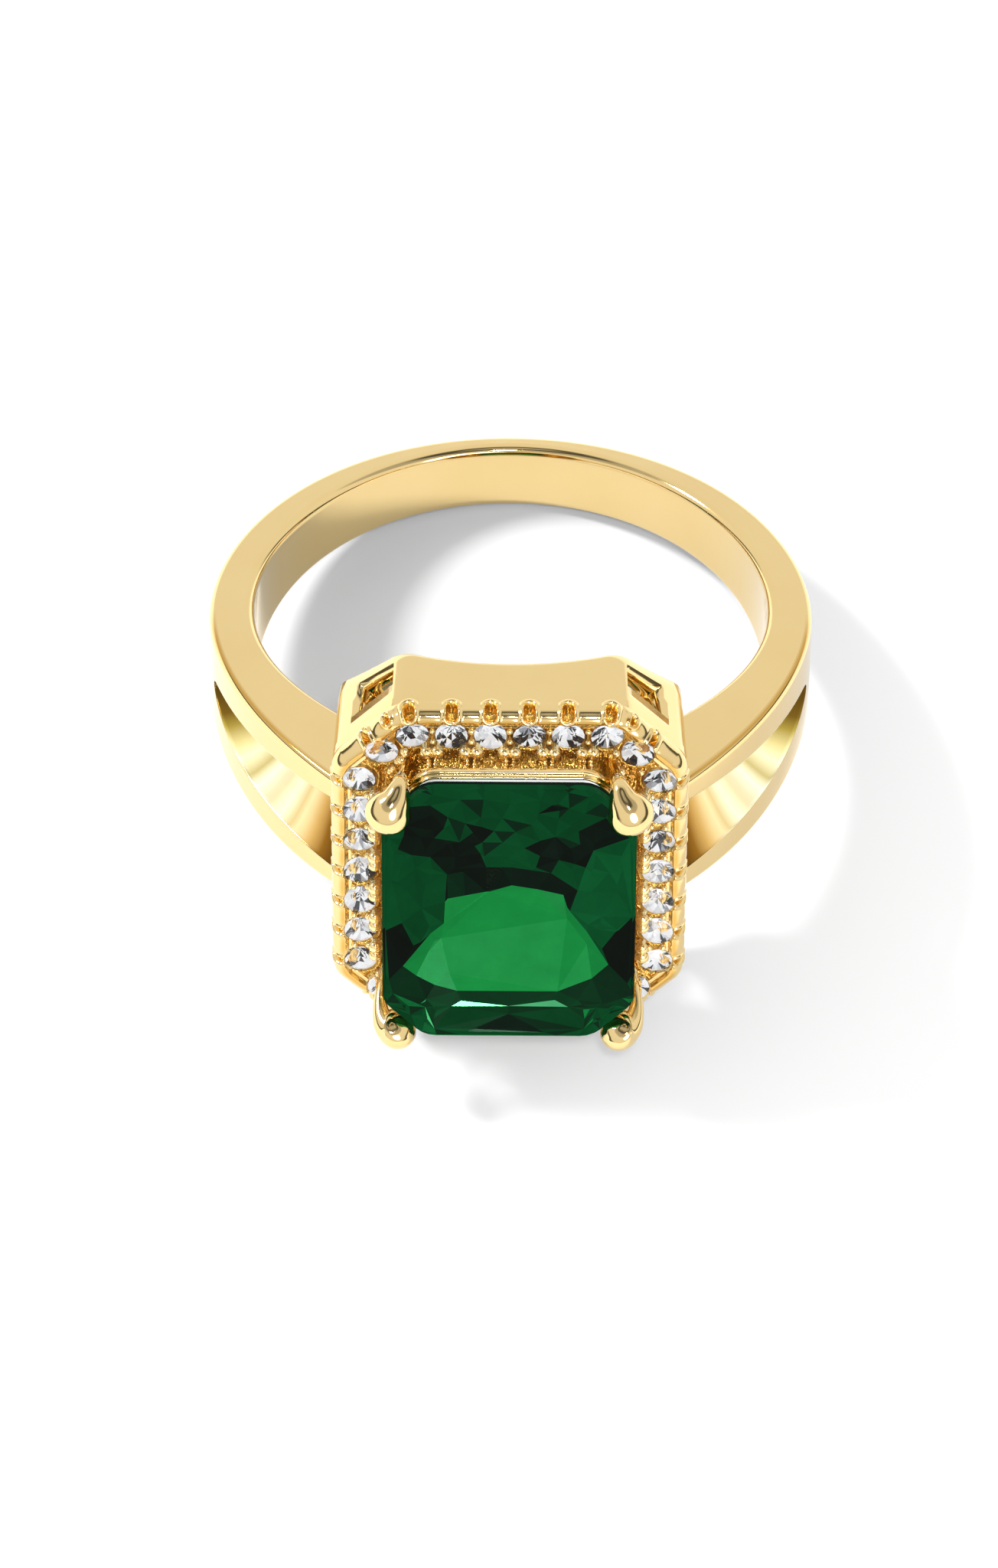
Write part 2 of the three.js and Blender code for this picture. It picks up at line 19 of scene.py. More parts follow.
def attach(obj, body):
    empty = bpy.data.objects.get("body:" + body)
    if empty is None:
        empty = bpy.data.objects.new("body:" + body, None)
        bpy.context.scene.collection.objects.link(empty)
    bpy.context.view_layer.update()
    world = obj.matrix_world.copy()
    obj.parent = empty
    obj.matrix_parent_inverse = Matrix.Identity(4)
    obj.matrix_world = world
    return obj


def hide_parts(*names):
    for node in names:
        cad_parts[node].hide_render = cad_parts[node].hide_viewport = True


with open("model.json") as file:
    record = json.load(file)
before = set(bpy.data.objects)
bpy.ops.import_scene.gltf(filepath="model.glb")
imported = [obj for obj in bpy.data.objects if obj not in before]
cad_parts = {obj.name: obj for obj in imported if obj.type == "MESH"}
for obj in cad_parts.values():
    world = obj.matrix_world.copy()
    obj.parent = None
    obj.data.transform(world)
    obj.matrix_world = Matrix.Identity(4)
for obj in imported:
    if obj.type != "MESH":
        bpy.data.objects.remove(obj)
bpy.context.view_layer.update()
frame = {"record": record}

# ---- the ring's axes in the world ----

MM = 0.001
TABLE_Z = 13.24
MOUNTS = {m["name"]: m for m in frame["record"]["mounts"]}
OUT = Vector(MOUNTS["stone_table"]["axis"]).normalized()
ALONG = -Vector(MOUNTS["head_side"]["axis"]).normalized()
ACROSS = ALONG.cross(OUT)
CENTRE = Vector(MOUNTS["stone_table"]["pos_m"]) - OUT * TABLE_Z * MM
RING = Matrix.Translation(CENTRE) @ Matrix((ACROSS, ALONG, OUT)).transposed().to_4x4() @ Matrix.Scale(MM, 4)
RING_ARRAY = np.array(RING)

# ---- sizes in millimetres ----

FINGER_RADIUS = 8.65

BAND = dict(
    back_thickness=0.83, early=0.55, onset=0.25, late=0.14,
    back_half=1.36, rise=-0.075, flare=0.662, draft=0.2, split=11.5,
    inner_edge=0.28, outer_edge=0.22, gap_edge=0.05,
    arm_inner=50.5, arm_outer=59.2, arm_half=2.93, arm_widening=0.1, arm_outer_radius=11.1,
    arm_steepness=1.9,
    gap_outer=1.56, gap_inner=0.88,
)

HEAD = dict(half_x=5.8, half_y=6.98, corner_x=3.65, corner_y=4.7, radius=1.2)
SADDLE_Z = 8.65
SADDLE_RADIUS = 11.5
SIDE_DROP = 0.62
SIDE_LEAN = 0.05
WALL_TOP = 10.22
WINDOW_CORNERS = [(-1.26, 8.42), (0.42, 8.12), (0.72, 9.55), (-1.26, 9.5)]
STRUT = dict(radius=0.13, foot=(0.62, 7.75), top=(-0.85, 9.95), inset=0.98)

HALO = dict(radius=0.535, girdle=11.15, row_y=6.01, row_pitch=1.267, rows=6,
            column_x=4.92, column_pitch=1.355, columns=7, corner=(4.17, 5.3))
STONE = dict(half_x=4.16, half_y=5.68, corner_x=2.78, corner_y=4.12, radius=0.9)
CROWN_INSET = 0.1
GIRDLE_TOP = 13.13
GIRDLE_LOW = 13.0
QUARTERS = [("upper_right", 1, 1), ("upper_left", -1, 1), ("lower_left", -1, -1), ("lower_right", 1, -1)]


# ---- mesh helpers ----

def to_world(points):
    """Ring millimetres, any leading shape, to world metres."""
    p = np.asarray(points, float)
    return p @ RING_ARRAY[:3, :3].T + RING_ARRAY[:3, 3]


def add_object(name, data):
    added = bpy.data.objects.new(name, data)
    bpy.context.scene.collection.objects.link(added)
    return added


def make_object(name, points, faces, materials, smooth=True, tones=None, point_tones=None, indices=None):
    """A mesh object from ring points and faces, with face or point tones for its material to read."""
    mesh = bpy.data.meshes.new(name)
    mesh.from_pydata(to_world(points).tolist(), [], [list(map(int, f)) for f in faces])
    mesh.validate()
    for material in materials:
        mesh.materials.append(material)
    mesh.polygons.foreach_set("use_smooth", [smooth] * len(mesh.polygons))
    if indices is not None:
        mesh.polygons.foreach_set("material_index", indices)
    if tones is not None:
        mesh.attributes.new("tone", "FLOAT", "FACE").data.foreach_set("value", tones)
    if point_tones is not None:
        mesh.attributes.new("tone", "FLOAT", "POINT").data.foreach_set("value", point_tones)
    return add_object(name, mesh)


def face_outwards(piece, merge=0.0):
    work = bmesh.new()
    work.from_mesh(piece.data)
    if merge:
        bmesh.ops.remove_doubles(work, verts=work.verts, dist=merge * MM)
    bmesh.ops.recalc_face_normals(work, faces=work.faces)
    work.to_mesh(piece.data)
    work.free()
    return piece


def grid_faces(rows, columns, close_rows, close_columns):
    """Quads over a grid of points held row by row."""
    r = np.arange(rows if close_rows else rows - 1)
    c = np.arange(columns if close_columns else columns - 1)
    here = r[:, None] * columns + c[None, :]
    right = r[:, None] * columns + (c[None, :] + 1) % columns
    below = ((r[:, None] + 1) % rows) * columns + c[None, :]
    across = ((r[:, None] + 1) % rows) * columns + (c[None, :] + 1) % columns
    return np.stack([here, right, across, below], -1).reshape(-1, 4)


def rod_faces(rows, sides):
    """Faces of a round rod with closed ends."""
    last = (rows - 1) * sides
    ends = [list(range(sides))[::-1], list(range(last, last + sides))]
    return [list(f) for f in grid_faces(rows, sides, False, True)] + ends


def ring_piece(name, points, material, tones=None):
    """A closed ring from a grid of points, each row a section."""
    faces = grid_faces(*points.shape[:2], True, True)
    point_tones = None if tones is None else tones.ravel()
    return face_outwards(make_object(name, points.reshape(-1, 3), faces, [material], point_tones=point_tones))


def rounded_outline(half_x, half_y, corner_x, corner_y, radius, spacing=0.0, counts=None):
    """A rectangle with cut and softened corners: places and outward normals, anticlockwise from the +x wall.
    Straight stretches and arcs are divided by spacing, or by counts = (arc, long wall, cut, short wall)."""
    corners = np.array([
        (half_x, -corner_y), (half_x, corner_y), (corner_x, half_y), (-corner_x, half_y),
        (-half_x, corner_y), (-half_x, -corner_y), (-corner_x, -half_y), (corner_x, -half_y),
    ])
    sides = np.roll(corners, -1, 0) - corners
    sides /= np.linalg.norm(sides, axis=1)[:, None]
    normals = np.stack([sides[:, 1], -sides[:, 0]], 1)
    places, outs = [], []
    for i in range(8):
        normal_in, normal_out = normals[i - 1], normals[i]
        turn = math.acos(np.clip(normal_in @ normal_out, -1, 1))
        setback = radius * math.tan(turn / 2)
        centre = corners[i] - sides[i - 1] * setback - normal_in * radius
        start = math.atan2(normal_in[1], normal_in[0])
        arcs = counts[0] if counts else max(2, int(radius * turn / spacing))
        for k in range(arcs + 1):
            angle = start + turn * k / arcs
            out = np.array([math.cos(angle), math.sin(angle)])
            places.append(centre + out * radius)
            outs.append(out)
        after = normals[(i + 1) % 8]
        next_setback = radius * math.tan(math.acos(np.clip(normal_out @ after, -1, 1)) / 2)
        a = corners[i] + sides[i] * setback
        b = corners[(i + 1) % 8] - sides[i] * next_setback
        kind = {0: 1, 4: 1, 2: 3, 6: 3}.get(i, 2)
        steps = counts[kind] if counts else max(2, int(np.linalg.norm(b - a) / spacing))
        for k in range(1, steps):
            places.append(a + (b - a) * k / steps)
            outs.append(normal_out)
    return np.array(places), np.array(outs)


def polar(radius, angle):
    return radius * np.array([math.cos(angle), math.sin(angle)])


def smoothstep(x, low, high):
    t = np.clip((x - low) / (high - low), 0, 1)
    return t * t * (3 - 2 * t)


def lerp(a, b, t):
    return a + (b - a) * t


def seat(piece, slot, *nodes):
    """Hangs a finished piece on the ring's root body and hides the CAD parts it stands for."""
    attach(piece, "root")
    if nodes:
        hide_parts(*nodes)
    return piece


# ---- materials ----

def new_material(name):
    material = bpy.data.materials.new(name)
    material.use_nodes = True
    tree = material.node_tree
    tree.nodes.clear()
    shader = new_node(tree, "BsdfPrincipled")
    new_node(tree, "OutputMaterial", {"Surface": shader.outputs["BSDF"]})
    return material, tree, shader


def feed(tree, node, inputs):
    """Links each input of a node to a socket, or sets it to a plain value."""
    for key, value in inputs.items():
        if isinstance(value, bpy.types.NodeSocket):
            tree.links.new(value, node.inputs[key])
        else:
            node.inputs[key].default_value = value


def new_node(tree, kind, inputs=None, **settings):
    node = tree.nodes.new("ShaderNode" + kind)
    for key, value in settings.items():
        setattr(node, key, value)
    feed(tree, node, inputs or {})
    return node


def noise(tree, scale, detail, roughness=0.5):
    place = new_node(tree, "TexCoord").outputs["Object"]
    grain = {"Scale": scale, "Detail": detail, "Roughness": roughness, "Vector": place}
    return new_node(tree, "TexNoise", grain).outputs["Fac"]


def ramp(tree, source, stops):
    node = new_node(tree, "ValToRGB", {"Fac": source})
    while len(node.color_ramp.elements) < len(stops):
        node.color_ramp.elements.new(0.5)
    for element, (position, colour) in zip(node.color_ramp.elements, stops):
        element.position = position
        element.color = (*colour, 1)
    return node.outputs["Color"]


def grey(value):
    return (value, value, value)


def mixed(tree, share, under, over, kind="MIX"):
    """Share of one colour laid over another."""
    colours = {"Factor": share, "A": under, "B": over}
    return new_node(tree, "Mix", colours, data_type="RGBA", blend_type=kind).outputs["Result"]


def calculated(tree, operation, *values):
    return new_node(tree, "Math", dict(enumerate(values)), operation=operation).outputs["Value"]


def attribute(tree, name):
    return new_node(tree, "Attribute", attribute_name=name).outputs["Fac"]


def bump(tree, height, strength, distance):
    relief = {"Strength": strength, "Distance": distance, "Height": height}
    return new_node(tree, "Bump", relief).outputs["Normal"]


# Painted shade and painted dark reflections: where the tone attribute is high, gold is mixed towards this
# darker golden brown, and polished gold also gets a painted glow of the second colour.
PAINTED_SHADE_TONE = (0.60, 0.35, 0.08, 1)
PAINTED_SHADE_GLOW = (0.50, 0.28, 0.05)


def painted_split_reflection(tree, colour, sheen):
    """Base colour and painted glow of a band whose split faces carry painted reflections: bands of light and
    dark from a table along the gap.
    """
    along = attribute(tree, "gap_along")
    on_gap = ramp(tree, along, [(0.0, grey(0)), (0.02, grey(1))])
    dimmed = [(position, tuple(0.35 * c for c in tone)) for position, tone in sheen]
    lit = [(0.0, grey(0)), (0.019, grey(0))] + [(max(position, 0.02), tone) for position, tone in sheen]
    return mixed(tree, on_gap, colour, ramp(tree, along, dimmed)), ramp(tree, along, lit)


def gold(name, light, dark, polish, grain, glow, rough_bump=0.0, sheen=None):
    """Gold plate: a slow drift in tone, fine polishing marks and, for cast parts, a grainy surface. The tone
    attribute paints shade and dark reflections into it. glow is a painted glow that stands in for light
    bouncing about in hollows: where the tone attribute is high, or over the whole part for parts with a rough
    bump. sheen is a table of painted reflections, bands of light and dark, for the two faces of the band's
    split, which glow with them."""
    material, tree, shader = new_material(name)
    plain = ramp(tree, noise(tree, 260, 4), [(0.3, dark), (0.7, light)])
    # Painted shade and painted dark reflections where the tone attribute is high.
    painted_darkening = attribute(tree, "tone")
    colour = mixed(tree, painted_darkening, plain, PAINTED_SHADE_TONE)
    if sheen:
        colour, lit = painted_split_reflection(tree, colour, sheen)
    elif rough_bump:
        lit = colour
    else:
        lit = ramp(tree, painted_darkening, [(0.0, grey(0)), (1.0, PAINTED_SHADE_GLOW)])
    if rough_bump:
        relief = bump(tree, noise(tree, grain * 0.7, 5, 0.6), rough_bump, 0.0001)
    else:
        relief = bump(tree, noise(tree, grain * 2.0, 5, 0.6), 0.02, 0.00002)
    low, high = polish
    feed(tree, shader, {
        "Metallic": 1.0, "Base Color": colour, "Emission Color": lit, "Emission Strength": glow,
        "Roughness": ramp(tree, noise(tree, grain, 6, 0.6), [(0.35, grey(low)), (0.7, grey(high))]),
        "Normal": relief,
    })
    return material


def gem_surface(name, ior, sheen, tint):
    """Clear polished surface of a stone, with faint handling marks."""
    material, tree, shader = new_material(name)
    feed(tree, shader, {
        "Base Color": tint, "Transmission Weight": 1.0, "IOR": ior, "Specular Tint": sheen,
        "Roughness": ramp(tree, noise(tree, 2500, 4), [(0.6, grey(0.0)), (0.9, grey(0.015))]),
    })
    return material


def clear_pane(name, ior, light, dark):
    """Clear table of a stone, tinted a little unevenly, that lets all light through."""
    material, tree, shader = new_material(name)
    tint = ramp(tree, noise(tree, 600, 4), [(0.3, dark), (0.7, light)])
    bend = new_node(tree, "BsdfRefraction", {"IOR": ior, "Roughness": 0.0, "Color": tint})
    tree.links.new(bend.outputs["BSDF"], tree.nodes["Material Output"].inputs["Surface"])
    tree.nodes.remove(shader)
    return material


def gem_back(name, stops, polish, grain, mirror, glow, edge):
    """Foiled back facets of a stone: each facet has its own painted tone, standing in for the reflections and
    the light let through that show in it, clouded a little by inclusions, and a painted glow, standing in for
    light that bounces about inside the stone, leaves by every facet."""
    material, tree, shader = new_material(name)
    cloud = ramp(tree, noise(tree, grain, 5, 0.65), [(0.25, grey(0.8)), (0.75, grey(1.0))])
    tone = attribute(tree, "tone")
    dimmed = [(position, tuple(c * mirror for c in colour)) for position, colour in stops]
    low, high = polish
    feed(tree, shader, {
        "Metallic": 1.0, "Specular Tint": edge, "Emission Strength": glow,
        "Base Color": mixed(tree, 1.0, ramp(tree, tone, dimmed), cloud, "MULTIPLY"),
        "Emission Color": mixed(tree, 1.0, ramp(tree, tone, stops), cloud, "MULTIPLY"),
        "Roughness": ramp(tree, noise(tree, grain * 2, 4), [(0.3, grey(low)), (0.8, grey(high))]),
    })
    return material


# Linear colours along the split. They were chosen by eye as screen colours, and a scratch script made them
# linear.
# Painted reflections: bands of reflected light and dark across the split's two faces, which also glow with
# them.
SPLIT_PAINTED_REFLECTION = [
    (0.0, (0.107, 0.055, 0.007)), (0.15, (0.214, 0.126, 0.017)), (0.22, (0.477, 0.355, 0.064)),
    (0.32, (0.911, 0.807, 0.395)), (0.39, (1, 0.955, 0.68)), (0.475, (0.554, 0.462, 0.2)),
    (0.535, (1, 0.977, 0.75)), (0.63, (0.828, 0.711, 0.44)), (0.70, (1, 0.933, 0.66)),
    (0.76, (0.711, 0.57, 0.28)), (0.79, (0.869, 0.729, 0.42)), (0.87, (0.638, 0.406, 0.13)),
    (0.93, (0.263, 0.126, 0.017)), (1.0, (0.095, 0.04, 0.005)),
]
GOLD_TONES = ((0.85, 0.64, 0.30), (0.82, 0.605, 0.27))
GOLD = gold("gold_polished", *GOLD_TONES, (0.07, 0.12), 900, 0.22)
BAND_GOLD = gold("gold_band", *GOLD_TONES, (0.07, 0.12), 900, 0.92, sheen=SPLIT_PAINTED_REFLECTION)
# Cast gold for the tray and the basket under the large stone: its darker, more saturated golden brown is
# painted shade, its grain and roughness are the cast finish, and its faint glow in its own colour is painted
# light.
CAST = gold("gold_cast", (0.84, 0.55, 0.16), (0.46, 0.24, 0.035), (0.08, 0.24), 5200, 0.04, 0.6)
# Beads and struts: a paler gold that glows faintly in its own colour, a painted light.
BEAD = gold("gold_bead", (0.92, 0.74, 0.38), (0.86, 0.65, 0.29), (0.04, 0.09), 2400, 0.06, 0.05)
GREEN_TABLE = clear_pane("green_stone_table", 1.45, (0.92, 1.0, 0.95), (0.84, 0.96, 0.88))
GREEN_FACE = gem_surface("green_stone_face", 1.45, (0.12, 0.22, 0.16, 1), (0.85, 0.98, 0.90, 1))
# The large stone's back facets in painted tones, from black through dark greens to the bright green where
# light comes through; they glow with them.
GREEN_BACK = gem_back("green_stone_back", [
    (0.0, (0.008, 0.010, 0.008)), (0.12, (0.008, 0.016, 0.011)), (0.3, (0.005, 0.058, 0.018)),
    (0.5, (0.007, 0.11, 0.033)), (0.75, (0.012, 0.26, 0.055)), (1.0, (0.10, 0.48, 0.22)),
], (0.0, 0.04), 900, 0.16, 1.0, (0.03, 0.14, 0.06, 1))
CLEAR_FACE = gem_surface("clear_stone_face", 1.6, (1, 1, 1, 1), (0.98, 0.99, 1.0, 1))
# The small stones' back facets in painted tones of dark, grey and white reflections; they glow with them.
CLEAR_BACK = gem_back("clear_stone_back", [
    (0.0, (0.03, 0.03, 0.035)), (0.5, (0.42, 0.43, 0.46)), (1.0, (0.97, 0.98, 1.0)),
], (0.0, 0.06), 3000, 0.16, 0.88, (0.8, 0.8, 0.8, 1))


# ---- band ----

def band_outer(angle):
    rise = 1 + math.sin(angle)
    growth = BAND["early"] * (1 - math.exp(-rise / BAND["onset"])) + BAND["late"] * rise
    return FINGER_RADIUS + BAND["back_thickness"] + growth


def band_half(angle):
    rise = 1 + math.sin(angle)
    return BAND["back_half"] + BAND["rise"] * rise + BAND["flare"] * rise * rise


def hermite(start, end, start_slope, end_slope, t):
    """A cubic from start to end with the given slopes at its two ends."""
    s = t - 1
    return (start * (1 + 2 * t) * s * s + start_slope * t * s * s
            + end * t * t * (3 - 2 * t) + end_slope * t * t * s)


def slope_at(function, angle):
    return (function(angle) - function(angle - 0.01)) / 0.01


def fillet(before, corner, after, radius, cuts):
    """Arc of cuts + 1 points that rounds a corner off."""
    a = np.array(before) - corner
    b = np.array(after) - corner
    a, b = a / np.linalg.norm(a), b / np.linalg.norm(b)
    half = math.acos(np.clip(a @ b, -1, 1)) / 2
    setback = radius / math.tan(half)
    centre = corner + (a + b) / np.linalg.norm(a + b) * radius / math.sin(half)
    start, end = corner + a * setback - centre, corner + b * setback - centre
    sweep = math.pi - 2 * half
    if radius < 1e-6:
        return [np.array(corner)] * (cuts + 1)
    turns = [sweep * k / cuts for k in range(cuts + 1)]
    return [centre + (math.sin(sweep - turn) * start + math.sin(turn) * end) / math.sin(sweep)
            for turn in turns]


def between(a, b, count):
    """Points inside a straight stretch, crowded towards its ends so that shading stays flat between them."""
    shares = [0.5 - 0.5 * math.cos(math.pi * (k + 1) / (count + 1)) for k in range(count)]
    return [lerp(np.array(a), np.array(b), s) for s in shares]


def band_profile(thickness, half, low_in, low_out):
    """One side's section as (depth, width) points, in two stretches: finger face, side face and outer face,
    which the undivided band has as well, then the gap's face."""
    p = [np.array(q) for q in
         [(0, low_in), (0, half), (thickness, half - BAND["draft"] * thickness), (thickness, low_out)]]
    gap = min(BAND["gap_edge"], 0.4 * low_in)
    arcs = [
        fillet(p[3], p[0], p[1], gap, 4),
        fillet(p[0], p[1], p[2], BAND["inner_edge"], 8),
        fillet(p[1], p[2], p[3], BAND["outer_edge"], 8),
        fillet(p[2], p[3], p[0], gap, 4),
    ]
    shared = [
        arcs[0][-1], *between(arcs[0][-1], arcs[1][0], 5), *arcs[1], *between(arcs[1][-1], arcs[2][0], 5),
        *arcs[2], *between(arcs[2][-1], arcs[3][0], 5), arcs[3][0],
    ]
    gap_face = [*arcs[3][1:], *between(arcs[3][-1], arcs[0][0], 6), *arcs[0][:-1]]
    return shared, gap_face


def band_section(inner_angle, outer_angle, outer_radius, points):
    inner, outer = polar(FINGER_RADIUS, inner_angle), polar(outer_radius, outer_angle)
    direction = (outer - inner) / np.linalg.norm(outer - inner)
    return [(inner[0] + direction[0] * s, w, inner[1] + direction[1] * s) for s, w in points]


HOOP_STEPS = 72
ARM_STEPS = 40


def hoop_rows(split):
    """The undivided quarter of the band: its sections, and the tone of each point, which paints a dark
    reflection line along the outer edge.
    """
    sections, lines = [], []
    for k in range(HOOP_STEPS + 1):
        angle = lerp(-math.pi / 2, split, k / HOOP_STEPS)
        outer = band_outer(angle)
        shared, _ = band_profile(outer - FINGER_RADIUS, band_half(angle), 0, 0)
        sections.append(band_section(angle, angle, outer, shared))
        lines.append(painted_edge_line(shared, smoothstep(angle, 0.0, split)))
    return np.array(sections), np.concatenate(lines)


def arm_rows(split):
    """One arm from the split up to the head: its sections, the tone of each point, which paints a dark
    reflection line along the outer edge, and each point's place along the painted reflections on the gap's
    face.
    """
    inner_end, outer_end = math.radians(BAND["arm_inner"]), math.radians(BAND["arm_outer"])
    start_outer, start_half = band_outer(split), band_half(split)
    outer_slope = slope_at(band_outer, split) * (inner_end - split)
    half_slope = slope_at(band_half, split) * (inner_end - split)
    sections, lines, sheen = [], [], []
    for k in range(ARM_STEPS + 1):
        t = (k / ARM_STEPS) ** 2
        inner_angle, outer_angle = lerp(split, inner_end, t), lerp(split, outer_end, t)
        outer = hermite(start_outer, BAND["arm_outer_radius"], outer_slope, BAND["arm_steepness"], t)
        thickness = np.linalg.norm(polar(outer, outer_angle) - polar(FINGER_RADIUS, inner_angle))
        half = hermite(start_half, BAND["arm_half"], half_slope, BAND["arm_widening"], t)
        opened = math.sqrt(t)
        shared, gap = band_profile(thickness, half, opened * BAND["gap_inner"], opened * BAND["gap_outer"])
        sections.append(band_section(inner_angle, outer_angle, outer, shared + gap))
        lines.append(painted_edge_line(shared + gap, 1.0))
        # The painted bands on the gap's face slant from its inner edge to its outer edge.
        slant = 0.12 * min(1, 4 * t) * np.linspace(0.5, -0.5, len(gap))
        sheen += [0.0] * len(shared) + list(np.clip(0.02 + 0.98 * t + slant, 0.02, 1))
    return np.array(sections), np.concatenate(lines), sheen


def quarter_band():
    """Points, faces, places along the gap's painted reflections, and painted tones of the +x, +y quarter: the
    undivided hoop, then one arm.
    """
    split = math.radians(BAND["split"])
    hoop, hoop_line = hoop_rows(split)
    arm, arm_line, arm_split_reflection = arm_rows(split)
    first = hoop.shape[0] * hoop.shape[1]
    points = np.concatenate([hoop.reshape(-1, 3), arm.reshape(-1, 3)])
    faces = [list(f) for f in grid_faces(*hoop.shape[:2], False, False)]
    faces += [list(f) for f in grid_faces(*arm.shape[:2], False, True) + first]
    faces.append(list(range(len(points) - arm.shape[1], len(points))))
    return points, faces, np.concatenate([np.zeros(first), arm_split_reflection]), np.concatenate([hoop_line, arm_line])


OUTER_EDGE = slice(20, 24)  # points of a section where the side face turns over into the outer face


def painted_edge_line(points, painted_darkening):
    """A painted dark line along the outer edge, standing in for a dark reflection there."""
    line = np.zeros(len(points))
    line[OUTER_EDGE] = np.array((0.7, 1, 1, 0.7)) * painted_darkening
    return line


def build_band():
    points, faces, sheen, line = quarter_band()
    all_points, all_faces = [], []
    for _, x, y in QUARTERS:
        offset = sum(len(p) for p in all_points)
        all_points.append(points * (x, y, 1))
        all_faces += [[v + offset for v in (f if x * y > 0 else f[::-1])] for f in faces]
    # The point tones paint a dark reflection line along the outer edges; gap_along places the painted
    # reflections on the split's faces.
    piece = make_object("band", np.concatenate(all_points), all_faces, [BAND_GOLD],
                        point_tones=np.tile(line, 4))
    piece.data.attributes.new("gap_along", "FLOAT", "POINT").data.foreach_set("value", np.tile(sheen, 4))
    face_outwards(piece, 0.002)
    sharpen(piece, 40)
    seat(piece, "gold_plate", "shank_hoop", *[f"shoulder_{name}" for name, _, _ in QUARTERS])


def sharpen(piece, degrees):
    """Marks edges sharper than an angle and weights normals by area, so flat faces stay flat."""
    work = bmesh.new()
    work.from_mesh(piece.data)
    for edge in work.edges:
        edge.smooth = edge.calc_face_angle(0) < math.radians(degrees)
    work.to_mesh(piece.data)
    work.free()
    weigh = piece.modifiers.new("weighted", "WEIGHTED_NORMAL")
    weigh.keep_sharp = True
    weigh.weight = 80


# ---- places round the halo ----

def spread(count, pitch):
    """Evenly spaced places centred on zero."""
    return [(i - (count - 1) / 2) * pitch for i in range(count)]


def halo_places():
    """Centre of each small stone, in the order of the CAD nodes."""
    places = []
    for side in (1, -1):
        places += [(x, side * HALO["row_y"]) for x in spread(HALO["rows"], HALO["row_pitch"])]
        places += [(side * HALO["column_x"], y) for y in spread(HALO["columns"], HALO["column_pitch"])]
    places += [(x * HALO["corner"][0], y * HALO["corner"][1]) for _, x, y in QUARTERS]
    return np.array(places)


SIDE_STONES = 2 * (HALO["rows"] + HALO["columns"])  # the places before those of the corner stones


def is_in_row(y):
    """Whether the small stone at this height of the head stands in one of the two rows."""
    return abs(y) > HALO["corner"][1]


def between_places():
    """Middle of each gap between two stones of a row or column: (along, side, in_row)."""
    found = []
    for side in (1, -1):
        found += [(x, side, True) for x in spread(HALO["rows"] - 1, HALO["row_pitch"])]
        found += [(y, side, False) for y in spread(HALO["columns"] - 1, HALO["column_pitch"])]
    return found


# ---- gallery wall ----

def wall_bottom(places):
    x, y = np.abs(places[:, 0]), np.abs(places[:, 1])
    saddle = np.sqrt(SADDLE_RADIUS ** 2 - x ** 2) - SADDLE_RADIUS + SADDLE_Z
    between_arms = 1 - smoothstep(y, 2.9, HEAD["corner_y"])
    return saddle - SIDE_DROP * between_arms * smoothstep(x, HEAD["corner_x"], HEAD["half_x"])


def fine_curve(points, step):
    """Straight-sided curve through [inset, z] points, divided evenly and softened."""
    points = np.array(points, float)
    lengths = np.concatenate([[0], np.cumsum(np.linalg.norm(np.diff(points, axis=0), axis=1))])
    stations = np.linspace(0, lengths[-1], int(lengths[-1] / step) + 1)
    curve = np.stack([np.interp(stations, lengths, points[:, k]) for k in (0, 1)], 1)
    for _ in range(6):
        curve[1:-1] = (curve[:-2] + 2 * curve[1:-1] + curve[2:]) / 4
    return curve


RIM = [
    (0, 10.1), (0, 10.2), (0, 10.5), (0.008, 10.75), (0.03, 10.9), (0.07, 11.02), (0.13, 11.12), (0.21, 11.2),
    (0.3, 11.25), (0.38, 11.27), (0.44, 11.24), (0.47, 11.17), (0.5, 11.15), (0.55, 11.19), (0.6, 11.2),
    (0.66, 11.17), (0.7, 11.05), (0.72, 10.9),
]
RIM_START = 10.38  # where the keyholes' own scale starts on the rim
ROW_KEYHOLE = (0.43, 0.8, 0.15)  # lower end, upper end and half width
COLUMN_KEYHOLE = (0.46, 0.9, 0.09)
CORNER_HOLE = (0.5, 0.66, 0.07)
SUNK_Z = 10.9  # how low the rim is cut away round the small stones
RIM_BACK_Z = 10.7  # where the inner side of the wall meets the rim


def keyholes(places):
    """Openings behind the small stones: station of each on the outline, its lower and upper end and half
    width. The last four are the small holes at the corners."""
    steps = np.linalg.norm(np.roll(places, -1, 0) - places, axis=1)
    stations = np.concatenate([[0], np.cumsum(steps)[:-1]])
    found = []
    for x, y in halo_places():
        nearest = np.argmin(np.linalg.norm(places - (x, y), axis=1))
        found.append((stations[nearest], *(ROW_KEYHOLE if is_in_row(y) else COLUMN_KEYHOLE)))
    for _, x, y in QUARTERS:
        nearest = np.argmin(np.linalg.norm(places - (x * 3.97, y * 6.5), axis=1))
        found.append((stations[nearest], *CORNER_HOLE))
    return stations, steps.sum(), found


